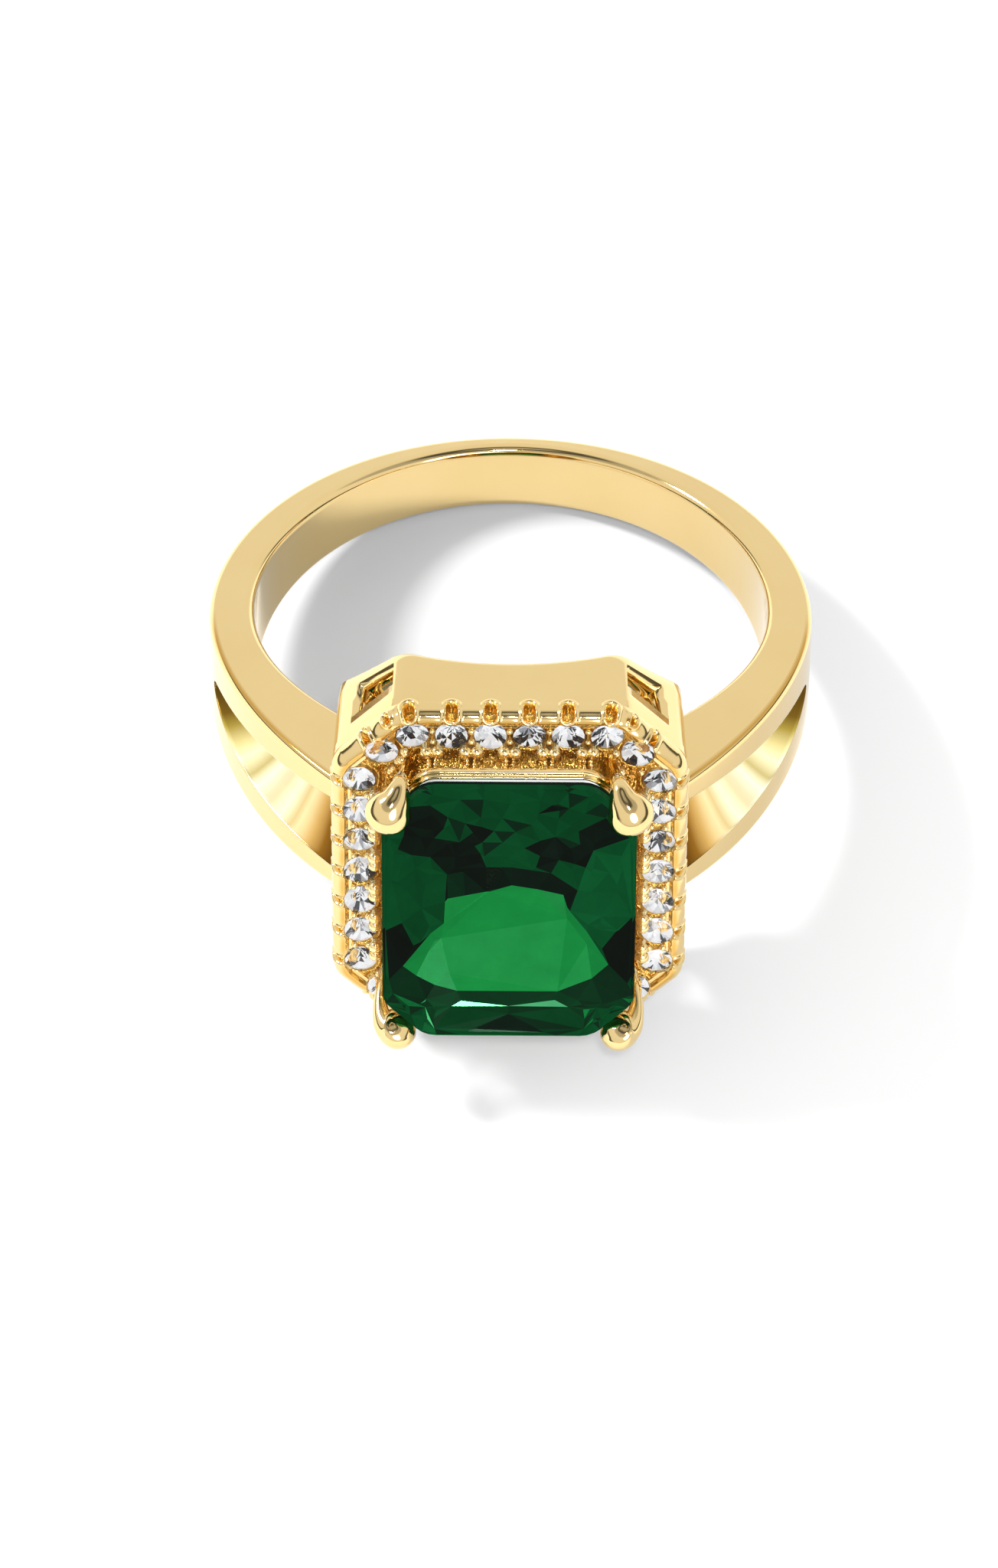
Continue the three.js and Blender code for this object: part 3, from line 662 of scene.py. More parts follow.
def rim_relief(stations, total, holes, along, swell):
    """How far the rim's surface stands out, with raised lips round the keyholes, deeply cut openings and
    lobes in between, then where it is open, which gets painted shade, and where it gets painted dark
    reflections: a line along the crest between the keyholes and leaf-shaped patches at the four corners."""
    relief = np.zeros((len(stations), len(along)))
    opening_shade = np.zeros_like(relief)
    free = np.ones(len(stations))
    for station, low, high, half in holes:
        ds = (stations - station + total / 2) % total - total / 2
        close = np.abs(ds) < 0.7
        w = along[None, :]
        q = np.hypot(ds[close][:, None], w - np.clip(w, low, high))
        opening = 1 - smoothstep(q, half - 0.02, half + 0.035)
        lip = 0.075 * np.exp(-((q - half - 0.1) / 0.07) ** 2)
        relief[close] += lip - 0.5 * opening
        opening_shade[close] = np.maximum(opening_shade[close], opening)
        free *= 1 - np.exp(-(ds / 0.3) ** 2)
    lobe = np.sin(np.pi * np.clip((along - 0.2) / 1.0, 0, 1)) ** 0.8
    relief += (swell * free)[:, None] * lobe[None, :]
    shade = free[:, None] * np.exp(-((along - 1.0) / 0.08) ** 2)[None, :]
    for station, *_ in holes[-4:]:
        ds = (stations - station + total / 2) % total - total / 2
        leaf = np.hypot(ds[:, None] / 0.36, (along[None, :] - 0.72) / 0.12)
        shade = np.maximum(shade, 0.9 * (1 - smoothstep(leaf, 0.7, 1.1)))
    return relief, opening_shade, shade


def wall_rim(places, outs):
    """Inset, height and painted tone of each point of the rim, row by row round the outline: painted shade in
    the openings and the seats round the small stones, and painted dark reflections.
    """
    rim = fine_curve(RIM, 0.028)
    tangent = np.gradient(rim, axis=0)
    tangent /= np.linalg.norm(tangent, axis=1)[:, None]
    rim_normal = np.stack([-tangent[:, 1], tangent[:, 0]], 1)
    along = np.concatenate([[0], np.cumsum(np.linalg.norm(np.diff(rim, axis=0), axis=1))])
    along -= RIM_START - RIM[0][1]
    stations, total, holes = keyholes(places)
    swell = lerp(0.05, 0.1, smoothstep(np.abs(outs[:, 0]), 0.5, 0.95))
    relief, opening_shade, shade = rim_relief(stations, total, holes, along, swell)
    inset = rim[None, :, 0] + rim_normal[None, :, 0] * relief
    height = rim[None, :, 1] + rim_normal[None, :, 1] * relief
    flat = places[:, None] - outs[:, None] * inset[..., None]
    reach = np.min(np.linalg.norm(flat[:, :, None] - halo_places()[None, None], axis=-1), axis=-1)
    sunk = 1 - smoothstep(reach, 0.5, 0.56)
    height = height - sunk * np.maximum(0, height - SUNK_Z)
    painted_shade = np.maximum(opening_shade, sunk * smoothstep(along, 0.5, 0.9)[None, :] * 0.6) * 0.9
    return inset, height, np.maximum(painted_shade, shade)


def build_wall():
    places, outs = rounded_outline(**HEAD, spacing=0.028)
    bottom = wall_bottom(places)
    inset, height, tone = wall_rim(places, outs)
    columns = [(np.full(len(places), i), bottom + z) for i, z in [(0.14, 0.0), (0.05, 0.04), (0.0, 0.12)]]
    columns += [(np.zeros(len(places)), lerp(bottom + 0.12, WALL_TOP - 0.12, t))
                for t in (0.15, 0.4, 0.7, 0.95)]
    rim_start = len(columns)
    columns += list(zip(inset.T, height.T))
    rim_end = len(columns)
    columns += [(np.full(len(places), 0.84), np.full(len(places), RIM_BACK_Z)),
                (np.full(len(places), 0.8), lerp(bottom, RIM_BACK_Z, 0.5)),
                (np.full(len(places), 0.78), bottom + 0.1), (np.full(len(places), 0.7), bottom + 0.02)]
    insets = np.stack([c[0] for c in columns], 1)
    heights = np.stack([c[1] for c in columns], 1)
    lean = SIDE_LEAN * np.maximum(0, WALL_TOP - heights) * np.abs(outs[:, :1])
    flat = places[:, None] - outs[:, None] * (insets + lean)[..., None]
    points = np.concatenate([flat, heights[..., None]], -1)
    # Painted shade and painted dark reflections on the rim, and painted shade over the wall's inner side.
    tones = np.zeros(points.shape[:2])
    tones[:, rim_start:rim_end] = tone
    tones[:, rim_end:] = 0.7
    piece = ring_piece("head_wall", points, GOLD, tones)
    cut_windows(piece)
    seat(piece, "gold_plate", "gallery_wall")


def at_cut_corner(along, inset, z):
    direction = np.array([HEAD["half_x"] - HEAD["corner_x"], HEAD["corner_y"] - HEAD["half_y"]])
    direction /= np.linalg.norm(direction)
    middle = np.array([HEAD["corner_x"] + HEAD["half_x"], HEAD["corner_y"] + HEAD["half_y"]]) / 2
    x = middle[0] + direction[0] * along + direction[1] * inset
    y = middle[1] + direction[1] * along - direction[0] * inset
    return np.array([x, y, z])


def cut_windows(piece):
    """Cuts the four-sided window through each cut corner of the wall."""
    for name, x, y in QUARTERS:
        loops = [[at_cut_corner(along, inset, z) * (x, y, 1) for along, z in WINDOW_CORNERS]
                 for inset in (-0.6, 1.5)]
        faces = [[0, 1, 2, 3], [7, 6, 5, 4]] + [[k, 4 + k, 4 + (k + 1) % 4, (k + 1) % 4] for k in range(4)]
        cutter = face_outwards(make_object(f"window_{name}", loops[0] + loops[1], faces, [CAST]))
        cut = piece.modifiers.new(f"window_{name}", "BOOLEAN")
        cut.operation = "DIFFERENCE"
        cut.solver = "EXACT"
        cut.object = cutter
    apply_modifiers(piece)
    for name, _, _ in QUARTERS:
        bpy.data.objects.remove(bpy.data.objects[f"window_{name}"])


def apply_modifiers(piece):
    bpy.context.view_layer.update()
    graph = bpy.context.evaluated_depsgraph_get()
    mesh = bpy.data.meshes.new_from_object(piece.evaluated_get(graph))
    piece.modifiers.clear()
    piece.data = mesh


def build_struts():
    for name, x, y in QUARTERS:
        ends = (STRUT["foot"], STRUT["top"])
        foot, top = (at_cut_corner(along, STRUT["inset"], z) * (x, y, 1) for along, z in ends)
        path = [foot, lerp(foot, top, 0.4), lerp(foot, top, 0.7), top]
        piece = make_object(f"strut_{name}", *tube(path, [1.3, 0.9, 1.0, 1.5], STRUT["radius"]), [BEAD])
        face_outwards(piece)
        seat(piece, "gold_plate", f"corner_strut_{name}")


def tube(path, scales, radius, sides=14, spans=6):
    """A round rod along a path, its radius scaled at each point of the path."""
    path = np.array(path, float)
    stations = np.linspace(0, len(path) - 1, (len(path) - 1) * spans + 1)
    line = np.stack([np.interp(stations, range(len(path)), path[:, k]) for k in range(3)], 1)
    sizes = np.interp(stations, range(len(path)), scales) * radius
    direction = line[-1] - line[0]
    direction /= np.linalg.norm(direction)
    side = np.cross(direction, (0.3, 0.5, 0.8))
    side /= np.linalg.norm(side)
    other = np.cross(direction, side)
    turns = np.linspace(0, 2 * math.pi, sides, endpoint=False)
    rings = np.cos(turns)[:, None] * side + np.sin(turns)[:, None] * other
    points = (line[:, None] + rings[None] * sizes[:, None, None]).reshape(-1, 3)
    return points, rod_faces(len(line), sides)


# ---- tray, beads and basket under the large stone ----

TRAY_Z = 10.98
TRAY_LOW = 10.2
TRAY_HOLE = dict(half_x=3.6, half_y=5.08, corner_x=2.35, corner_y=3.85, radius=0.5)


def tray_height(flat, chance):
    """Height of the tray at flat places: cups for the small stones, collars round them and a cast grain."""
    gems = halo_places()
    reach = np.min(np.linalg.norm(flat[..., None, :] - gems, axis=-1), axis=-1)
    collar = 0.17 * np.exp(-((reach - 0.66) / 0.07) ** 2)
    cup = 0.35 * (1 - smoothstep(reach, 0.42, 0.55))
    return TRAY_Z + collar - cup + 0.035 * chance * smoothstep(reach, 0.6, 0.7)


def build_tray():
    counts = (16, 320, 64, 240)
    outer, outs = rounded_outline(**HEAD, counts=counts)
    inner, _ = rounded_outline(**TRAY_HOLE, counts=counts)
    outer = outer - outs * 0.4
    shares = np.linspace(0, 1, 58)
    flat = outer[:, None] + (inner - outer)[:, None] * shares[None, :, None]
    chance = np.random.RandomState(11).standard_normal(flat.shape[:2])
    for axis in (0, 1):
        chance = (np.roll(chance, 1, axis) + chance * 2 + np.roll(chance, -1, axis)) / 2.4
    top = tray_height(flat, chance)
    low = np.full(top.shape[0], TRAY_LOW)
    flat = np.concatenate([flat, inner[:, None], outer[:, None]], 1)
    height = np.concatenate([top, low[:, None], low[:, None]], 1)
    points = np.concatenate([flat, height[..., None]], -1)
    tones = np.clip(np.random.RandomState(5).standard_normal(points.shape[:2]) * 0.12 + 0.25, 0, 1)
    seat(ring_piece("halo_tray_floor", points, CAST, tones), "gold_plate", "halo_tray")


def bead_mesh():
    """A bead of radius 1 on a short neck."""
    rounds = 12
    bends = np.linspace(math.radians(40), math.pi - 0.12, 8)
    profile = [(0.8, -1.6), (0.62, -0.9)] + [(math.sin(bend), -math.cos(bend)) for bend in bends]
    turns = np.linspace(0, 2 * math.pi, rounds, endpoint=False)
    points = [(r * math.cos(t), r * math.sin(t), z) for r, z in profile for t in turns]
    return np.array(points), rod_faces(len(profile), rounds)


def joined(parts):
    """Points and faces of many (points, faces) parts as one."""
    points, faces, offset = [], [], 0
    for part_points, part_faces in parts:
        points.append(part_points)
        faces += [[v + offset for v in f] for f in part_faces]
        offset += len(part_points)
    return np.concatenate(points), faces


BASKET_LOW, BASKET_TOP = 10.9, 12.3


def basket_inset(z):
    """How far the basket stands back from the large stone's outline at a height."""
    return lerp(0.62, 0.22, (z - BASKET_LOW) / (BASKET_TOP - BASKET_LOW))


PAIR = {True: 5.55, False: 4.43}  # how far out the bead pairs stand, in a row and in a column
PAIR_Z = 11.5
EDGE = {True: 5.46, False: 4.34}  # inner edge of the tray, in a row and in a column
STONE_EDGE = {True: STONE["half_y"], False: STONE["half_x"]}


def beads_between(rng, shape, along, side, in_row):
    """Two beads between two small stones, with dots on the ribs below them, and the prongs further out."""
    points, faces = shape

    def spot(place, across, z):
        return (place, across * side, z) if in_row else (across * side, place, z)

    parts = []
    for half in (-1, 1):
        place = along + half * rng.uniform(0.165, 0.19)
        size = rng.uniform(0.215, 0.24)
        height = PAIR_Z + rng.uniform(-0.02, 0.03)
        parts.append((points * (size, size, size * 0.85) + spot(place, PAIR[in_row], height), faces))
        for z in (11.72, 11.98, 12.18):
            across = STONE_EDGE[in_row] - basket_inset(z) + 0.1
            parts.append((points * rng.uniform(0.05, 0.075) + spot(along + half * 0.11, across, z), faces))
    for offset in (0.33, 0.78):
        place = along + rng.uniform(-0.04, 0.04)
        size = rng.uniform(0.09, 0.12)
        parts.append((points * size + spot(place, EDGE[in_row] + offset, 11.22), faces))
    return parts


def beads_at_corner(rng, shape, x, y):
    """Loose beads round a corner stone."""
    points, faces = shape
    parts = []
    for _ in range(16):
        centre = (x * (3.3 + rng.uniform(0, 1.1)), y * (4.45 + rng.uniform(0, 0.95)))
        if min(math.dist(centre, g) for g in halo_places()) < 0.66:
            continue
        size = rng.uniform(0.1, 0.17)
        parts.append((points * size + (*centre, 11.12 + rng.uniform(0, 0.3)), faces))
    return parts


def build_beads():
    rng = random.Random(3)
    shape = bead_mesh()
    parts = []
    for along, side, in_row in between_places():
        parts += beads_between(rng, shape, along, side, in_row)
    for _, x, y in QUARTERS:
        parts += beads_at_corner(rng, shape, x, y)
    seat(face_outwards(make_object("halo_beads", *joined(parts), [BEAD])), "gold_plate")


def distance_along(places, outs, along, side, in_row):
    """How far each place of one straight side lies past a spot on it; other sides' places lie far off."""
    on_side = outs[:, 1 if in_row else 0] * side > 0.95
    return np.where(on_side, places[:, 0 if in_row else 1], 99.0) - along


def basket_relief(places, outs, heights):
    """How far the basket's surface stands out, with paired ribs under the beads and boxes under the stones,
    and its painted tones: painted shade over the basket and in the slots, lighter on the ribs and the boxes."""
    relief = np.zeros((len(places), len(heights)))
    tone = np.full(relief.shape, 0.65)
    for along, side, in_row in between_places():
        near = distance_along(places, outs, along, side, in_row)
        for rib in (-0.11, 0.11):
            ridge = np.exp(-((near - rib) / 0.055) ** 2)
            relief += 0.18 * ridge[:, None]
            tone -= 0.5 * ridge[:, None]
        slot = np.exp(-(near / 0.05) ** 2)[:, None]
        relief -= 0.08 * slot
        tone += 0.35 * slot
    for gx, gy in halo_places()[:SIDE_STONES]:
        along, across = (gx, gy) if is_in_row(gy) else (gy, gx)
        near = distance_along(places, outs, along, np.sign(across), is_in_row(gy))
        q = np.maximum(np.abs(near)[:, None] / 0.2, np.abs(heights[None, :] - 11.95) / 0.36)
        relief += 0.07 * np.exp(-((q - 1.0) / 0.18) ** 2)
        tone -= 0.6 * np.exp(-((q - 0.9) / 0.4) ** 2)
    chance = np.random.RandomState(23).standard_normal(relief.shape) * 0.028
    relief += (np.roll(chance, 1, 0) + chance + np.roll(chance, 1, 1))
    return relief, np.clip(tone, 0, 1)


def build_basket():
    """The pierced gallery between the tray and the rail."""
    places, outs = rounded_outline(**STONE, spacing=0.03)
    heights = np.linspace(BASKET_LOW, BASKET_TOP, 44)
    inset = basket_inset(heights)
    relief, tone = basket_relief(places, outs, heights)
    outer = places[:, None] - outs[:, None] * (inset[None] - relief)[..., None]
    back = places[:, None] - outs[:, None] * (inset[None, ::-6] + 0.16)[..., None]
    points = np.concatenate([
        np.concatenate([outer, np.broadcast_to(heights, relief.shape)[..., None]], -1),
        np.concatenate([back, np.broadcast_to(heights[::-6], back.shape[:2])[..., None]], -1),
    ], 1)
    # The basket's back side gets painted shade.
    tones = np.concatenate([tone, np.full(back.shape[:2], 0.8)], 1)
    seat(ring_piece("stone_basket", points, CAST, tones), "gold_plate")


RAIL = [
    (0.22, 12.28), (0.06, 12.29), (0.0, 12.34), (0.0, 12.5), (0.03, 12.57), (0.08, 12.57), (0.10, 12.52),
    (0.12, 12.53), (0.14, 12.64), (0.18, 12.68), (0.23, 12.68), (0.25, 12.6), (0.25, 12.3),
]


def build_rail():
    places, outs = rounded_outline(**STONE, spacing=0.12)
    profile = fine_curve(RAIL, 0.02)
    flat = places[:, None] - outs[:, None] * profile[None, :, :1]
    points = np.concatenate([flat, np.broadcast_to(profile[:, 1], flat.shape[:2])[..., None]], -1)
    seat(ring_piece("rail", points, GOLD), "gold_plate", "stone_rail")


# ---- claws ----

UPPER_CLAW = [  # x, y, z and radius from the foot on the tray up and over the stone's corner
    (3.27, 4.62, 10.98, 0.24), (3.36, 4.9, 11.7, 0.24), (3.44, 5.22, 12.3, 0.25), (3.52, 5.44, 12.74, 0.27),
    (3.59, 5.42, 13.06, 0.35), (3.68, 5.2, 13.25, 0.5), (3.82, 4.93, 13.35, 0.68), (3.92, 4.66, 13.38, 0.77),
    (3.99, 4.42, 13.36, 0.73), (4.04, 4.24, 13.34, 0.58), (4.07, 4.12, 13.32, 0.36),
    (4.09, 4.04, 13.31, 0.12),
]
LOWER_CLAW = [
    (4.05, 4.36, 10.98, 0.2), (4.15, 4.52, 11.5, 0.2), (4.24, 4.75, 12.1, 0.21), (4.24, 5.02, 12.6, 0.27),
    (4.1, 5.25, 12.92, 0.42), (3.9, 5.36, 13.08, 0.58), (3.72, 5.34, 13.18, 0.7), (3.57, 5.22, 13.24, 0.66),
    (3.46, 5.09, 13.27, 0.48), (3.39, 5.01, 13.28, 0.28), (3.36, 4.97, 13.28, 0.12),
]


def sweep(path, sides=28, steps=90):
    """A round body along a path of (x, y, z, radius) points, smooth between them."""
    path = np.array(path, float)
    stations = np.linspace(0, len(path) - 1, steps)
    line = np.array([curve_point(path, t) for t in stations])
    for _ in range(4):
        line[1:-1] = (line[:-2] + 2 * line[1:-1] + line[2:]) / 4
    tangent = np.gradient(line[:, :3], axis=0)
    tangent /= np.linalg.norm(tangent, axis=1)[:, None]
    side = np.cross(tangent[0], (0.3, -0.8, 0.1))
    turns = np.linspace(0, 2 * math.pi, sides, endpoint=False)
    rings = []
    for place, direction in zip(line, tangent):
        side = side - direction * (side @ direction)
        side /= np.linalg.norm(side)
        other = np.cross(direction, side)
        rings.append(place[:3] + place[3] * (np.cos(turns)[:, None] * side + np.sin(turns)[:, None] * other))
    return np.concatenate(rings), rod_faces(steps, sides)


def curve_point(path, t):
    """Catmull-Rom point on a path."""
    i = min(int(t), len(path) - 2)
    f = t - i
    a, b, c, d = (path[min(max(k, 0), len(path) - 1)] for k in (i - 1, i, i + 1, i + 2))
    square, cube = 2 * a - 5 * b + 4 * c - d, 3 * b - a - 3 * c + d
    return 0.5 * (2 * b + (c - a) * f + square * f * f + cube * f ** 3)


def build_claws():
    for name, x, y in QUARTERS:
        points, faces = sweep(UPPER_CLAW if y > 0 else LOWER_CLAW)
        piece = face_outwards(make_object(f"claw_tip_{name}", points * (x, y, 1), faces, [GOLD]))
        seat(piece, "gold_plate", f"claw_{name}")


# ---- small stones ----

BACK_POINTS = slice(48, 56)  # the brilliant's points halfway down its back


def brilliant():
    """A round brilliant of girdle radius 1 with its girdle at z = 0: points, faces, number of top faces. The
    points are 8 of the table, 8 of the crown, 16 for each edge of the girdle, 8 of the back and the tip."""
    def circle(count, radius, z, turn=0.0):
        return [(radius * math.cos(2 * math.pi * (k + turn) / count),
                 radius * math.sin(2 * math.pi * (k + turn) / count), z) for k in range(count)]

    points = circle(8, 0.56, 0.33) + circle(8, 0.79, 0.22, 0.5) + circle(16, 1, 0.03) + circle(16, 1, -0.03)
    points += circle(8, 0.36, -0.55, 0.5) + [(0, 0, -0.86)]
    top = [list(range(8))]
    back = []
    for k in range(8):
        after, before = (k + 1) % 8, (k - 1) % 8
        g = [16 + (2 * k + j) % 16 for j in range(3)]
        h = [v + 16 for v in g]
        top += [[k, 8 + k, after], [k, 8 + before, g[0], 8 + k], [8 + k, g[0], g[1]], [8 + k, g[1], g[2]],
                [g[0], h[0], h[1], g[1]], [g[1], h[1], h[2], g[2]]]
        back += [[48 + k, h[1], h[0]], [48 + k, h[2], h[1]], [h[0], 48 + before, 48 + k],
                 [48 + before, 56, 48 + k]]
    return np.array(points), top + back, len(top)


def build_halo_stones():
    rng = random.Random(17)
    points, faces, tops = brilliant()
    for i, (x, y) in enumerate(halo_places()):
        turn, tilt, lean = rng.uniform(0, 6.28), rng.uniform(-0.12, 0.12), rng.uniform(-0.12, 0.12)
        lying = Matrix.Rotation(tilt, 3, "X") @ Matrix.Rotation(lean, 3, "Y")
        spin = np.array(lying @ Matrix.Rotation(turn, 3, "Z"))
        cut = points.copy()
        cut[BACK_POINTS, :2] *= np.array([rng.uniform(0.7, 1.5) for _ in range(8)])[:, None]
        placed = cut * HALO["radius"] @ spin.T + (x, y, HALO["girdle"])
        # Painted facet reflections: each face gets a dark, grey or white tone at random, which the back
        # facets show and glow with.
        tones = [rng.choice((0.0, 0.0, 0.4, 0.8, 1.0, 1.0, 1.0, 1.0)) for _ in faces]
        piece = make_object(f"small_stone_{i + 1:02d}", placed, faces, [CLEAR_FACE, CLEAR_BACK], False, tones,
                            indices=[int(k >= tops) for k in range(len(faces))])
        face_outwards(piece)
        seat(piece, "clear_stone", f"halo_stone_{i + 1:02d}")


# ---- large stone ----

REFRACTION = 0.541  # sideways travel per unit of depth of the line of sight inside the stone
PATCH_SHIFT = 0.24  # how far the patches stand towards the top of the head
FOOT_Y = -5  # the corners below this don't take the shift

# The back facets, as they appear through the table: the tone of each patch and its corners. The corners were
# picked by eye on an enlargement of the photograph, and a scratch script turned them into ring millimetres.
# Each patch's tone is painted: the light let through and the dark and bright reflections seen in the stone.
PATCHES = [
    (0.75, [(-0.63, 0.77), (0.09, 1.06), (0.94, 0.89), (1.79, 0.64), (1.92, -0.43), (2.58, -1.58),
        (2.76, -3.15), (1.63, -3.76), (-1.7, -3.76), (-1.95, -2.98), (-2.23, -1.36),
        (-2.14, -0.68)]),  # window
    (0.76, [(-2.1, 0.3), (-2.01, 0.44), (-0.75, 0.77), (-0.63, 0.77), (-2.14, -0.68)]),  # window_upper_left
    (0.7, [(-2.14, -0.68), (-2.23, -1.36), (-2.45, -1.49), (-2.64, -1.96), (-3.05, -3.07), (-3.49, -2.64),
        (-2.58, -1.15)]),  # window_left
    (0.79, [(-2.45, -1.49), (-2.23, -1.36), (-1.95, -2.98), (-1.7, -3.76), (-2.45, -3.49), (-3.05, -3.07),
        (-2.64, -1.96)]),  # window_lower_left
    (0.7, [(1.79, 0.64), (1.92, 0.09), (2.58, -1.02), (3.3, -2.51), (2.76, -3.15), (2.58, -1.58),
        (1.92, -0.43)]),  # window_right
    (0.2, [(-3.49, -2.64), (-3.05, -3.07), (-2.45, -3.49), (-1.7, -3.76), (1.63, -3.76), (2.76, -3.15),
        (3.3, -2.51), (4.08, -3.49), (4.05, -4.34), (2.95, -4.51), (1.98, -4.47), (1.54, -4.16),
        (0.0, -4.45), (-1.57, -4.22), (-1.88, -4.47), (-2.76, -4.51), (-4.02, -4.09),
        (-4.02, -3.32)]),  # low_band
    (0.95, [(-1.88, -4.47), (-1.57, -4.22), (0.0, -4.45)]),  # sliver_left
    (0.95, [(0.0, -4.45), (1.54, -4.16), (1.98, -4.47)]),  # sliver_right
    (0.22, [(-2.76, -4.51), (-1.88, -4.47), (0.0, -4.45), (1.98, -4.47), (2.95, -4.51), (2.58, -5.41),
        (-2.51, -5.41)]),  # foot
    (0.16, [(-1.38, -5.41), (0.0, -4.81), (1.19, -5.41)]),  # foot_middle
    (0.0, [(-4.05, -1.02), (-3.52, -0.68), (-3.14, -1.7), (-2.89, -1.53), (-2.58, -1.15), (-3.49, -2.64),
        (-4.02, -3.32)]),  # black_left
    (0.0, [(4.11, -0.34), (3.52, -1.02), (3.08, -1.79), (3.3, -2.51), (4.08, -3.49)]),  # black_right
    (0.07, [(-2.04, 1.53), (-0.75, 1.87), (0.09, 1.87), (1.38, 1.62), (2.26, 0.85), (2.01, -0.09),
        (1.92, 0.09), (1.79, 0.64), (0.94, 0.89), (0.09, 1.06), (-0.75, 0.77), (-2.01, 0.44),
        (-2.1, 0.3)]),  # brow
    (0.2, [(-2.04, 1.53), (-1.51, 1.66), (-1.44, 0.61), (-2.01, 0.44)]),  # brow_left
    (0.34, [(-4.08, 3.24), (-3.2, 2.39), (-2.58, 2.3), (-2.04, 1.53), (-2.1, 0.3), (-2.14, -0.68),
        (-2.58, -1.15), (-2.89, -1.53), (-3.14, -1.7), (-3.52, -0.68), (-4.05, -1.02)]),  # side_left
    (0.42, [(4.11, 3.24), (2.76, 2.64), (2.51, 1.87), (2.26, 0.85), (2.01, -0.09), (2.58, -1.02),
        (3.08, -1.79), (3.52, -1.02), (4.11, -0.34)]),  # side_right
    (0.03, [(-3.3, 4.51), (-2.58, 4.6), (-2.01, 4.09), (-2.14, 3.58), (-2.45, 3.15), (-2.01, 2.9),
        (-2.58, 2.3), (-3.2, 2.39), (-3.64, 2.64), (-3.45, 3.24)]),  # dark_left_1
    (0.04, [(-2.45, 3.15), (-1.63, 2.98), (-1.19, 3.41), (-1.44, 3.83), (-0.88, 3.66), (-0.5, 3.49),
        (-0.88, 2.98), (-1.13, 2.81), (-0.94, 2.47), (-0.75, 1.87), (-2.04, 1.53), (-2.58, 2.3),
        (-2.01, 2.9)]),  # dark_left_2
    (0.03, [(1.51, 3.24), (2.01, 2.73), (2.32, 2.9), (2.26, 3.49), (3.14, 4.09), (3.96, 3.24),
        (2.76, 2.64), (2.51, 1.87), (2.14, 2.04), (1.63, 2.21)]),  # dark_right_1
    (0.05, [(0.5, 2.73), (1.01, 3.07), (1.51, 3.24), (1.63, 2.21), (1.38, 1.62), (0.88, 1.87),
        (1.01, 2.39)]),  # dark_right_2
    (0.05, [(0.94, 4.26), (1.38, 4.64), (1.95, 4.51), (1.63, 4.41)]),  # dark_top
]


BACK_HALF = (4.2, 5.8)  # reach of the back facets across and along the head
BACK_DEPTH = 2.2
BACK_CURVE = 1.4
GIRDLE_SHIFT = REFRACTION * (TABLE_Z - GIRDLE_LOW)  # how far the girdle seems to move, seen through the table


def stone_norm(x, y):
    """0 in the middle of the stone and 1 at its outline, which is nearly a rectangle."""
    return ((np.abs(x) / BACK_HALF[0]) ** 4 + (np.abs(y) / BACK_HALF[1]) ** 4) ** 0.25


def back_depth(x, y):
    """Depth of the back facets below the table."""
    return (TABLE_Z - GIRDLE_LOW) + BACK_DEPTH * (1 - stone_norm(x, y) ** BACK_CURVE)


def true_place(x, seen_y):
    """Where a back corner lies, from where it appears through the table."""
    y = seen_y
    for _ in range(30):
        y = seen_y - REFRACTION * back_depth(x, y)
    return (x, y, TABLE_Z - back_depth(x, y))


def pulled_in(x, y, limit=0.965):
    """Keeps a corner inside the girdle."""
    size = stone_norm(x, y - GIRDLE_SHIFT)
    if size < limit:
        return (x, y)
    return (x * limit / size, (y - GIRDLE_SHIFT) * limit / size + GIRDLE_SHIFT)


def inside(x, y, polygon):
    odd = False
    for (x0, y0), (x1, y1) in zip(polygon, polygon[1:] + polygon[:1]):
        if (y0 > y) != (y1 > y) and x < (x1 - x0) * (y - y0) / (y1 - y0) + x0:
            odd = not odd
    return odd


def back_corners():
    """Corners and forced edges of the back facets in the plane of the table."""
    rng = random.Random(29)
    corners, edges, index = [], [], {}
    for _, polygon in PATCHES:
        ids = []
        for x, y in polygon:
            place = pulled_in(x, y + PATCH_SHIFT * (y > FOOT_Y))
            if place not in index:
                index[place] = len(corners)
                corners.append(place)
            ids.append(index[place])
        edges += list(zip(ids, ids[1:] + ids[:1]))
    for row in range(7):
        for column in range(-4, 5):
            x = column * 0.9 + rng.uniform(-0.25, 0.25)
            y = 2.1 + row * 0.58 + rng.uniform(-0.2, 0.2)
            corners.append(pulled_in(x, y, 0.93))
    for side in (-1, 1):
        for _ in range(26):
            corners.append(pulled_in(side * rng.uniform(2.3, 3.95), rng.uniform(-5.1, -3.9), 0.95))
        for _ in range(12):
            corners.append(pulled_in(side * rng.uniform(2.6, 3.9), rng.uniform(-1.5, 2.4), 0.95))
    return corners, edges


# A back facet's painted tone: that of the patch it lies in, varied a little, with painted sparkles scattered
# over the lower corners; outside every patch, a middling painted tone at random.
def patch_tone(x, y, rng):
    for tone, polygon in reversed(PATCHES):
        if inside(x, y - PATCH_SHIFT * (y > FOOT_Y + PATCH_SHIFT), polygon):
            spread = 0.02 if tone > 0.6 else 0.06
            if abs(x) > 2.4 and y < -3.9 and rng.random() < 0.3:
                return rng.uniform(0.5, 0.95)
            return min(1, max(0, tone + rng.uniform(-spread, spread)))
    return rng.choice((0.28, 0.30, 0.32, 0.34, 0.34, 0.36, 0.16))


FACE, BACK, TABLE = range(3)  # places of the large stone's materials


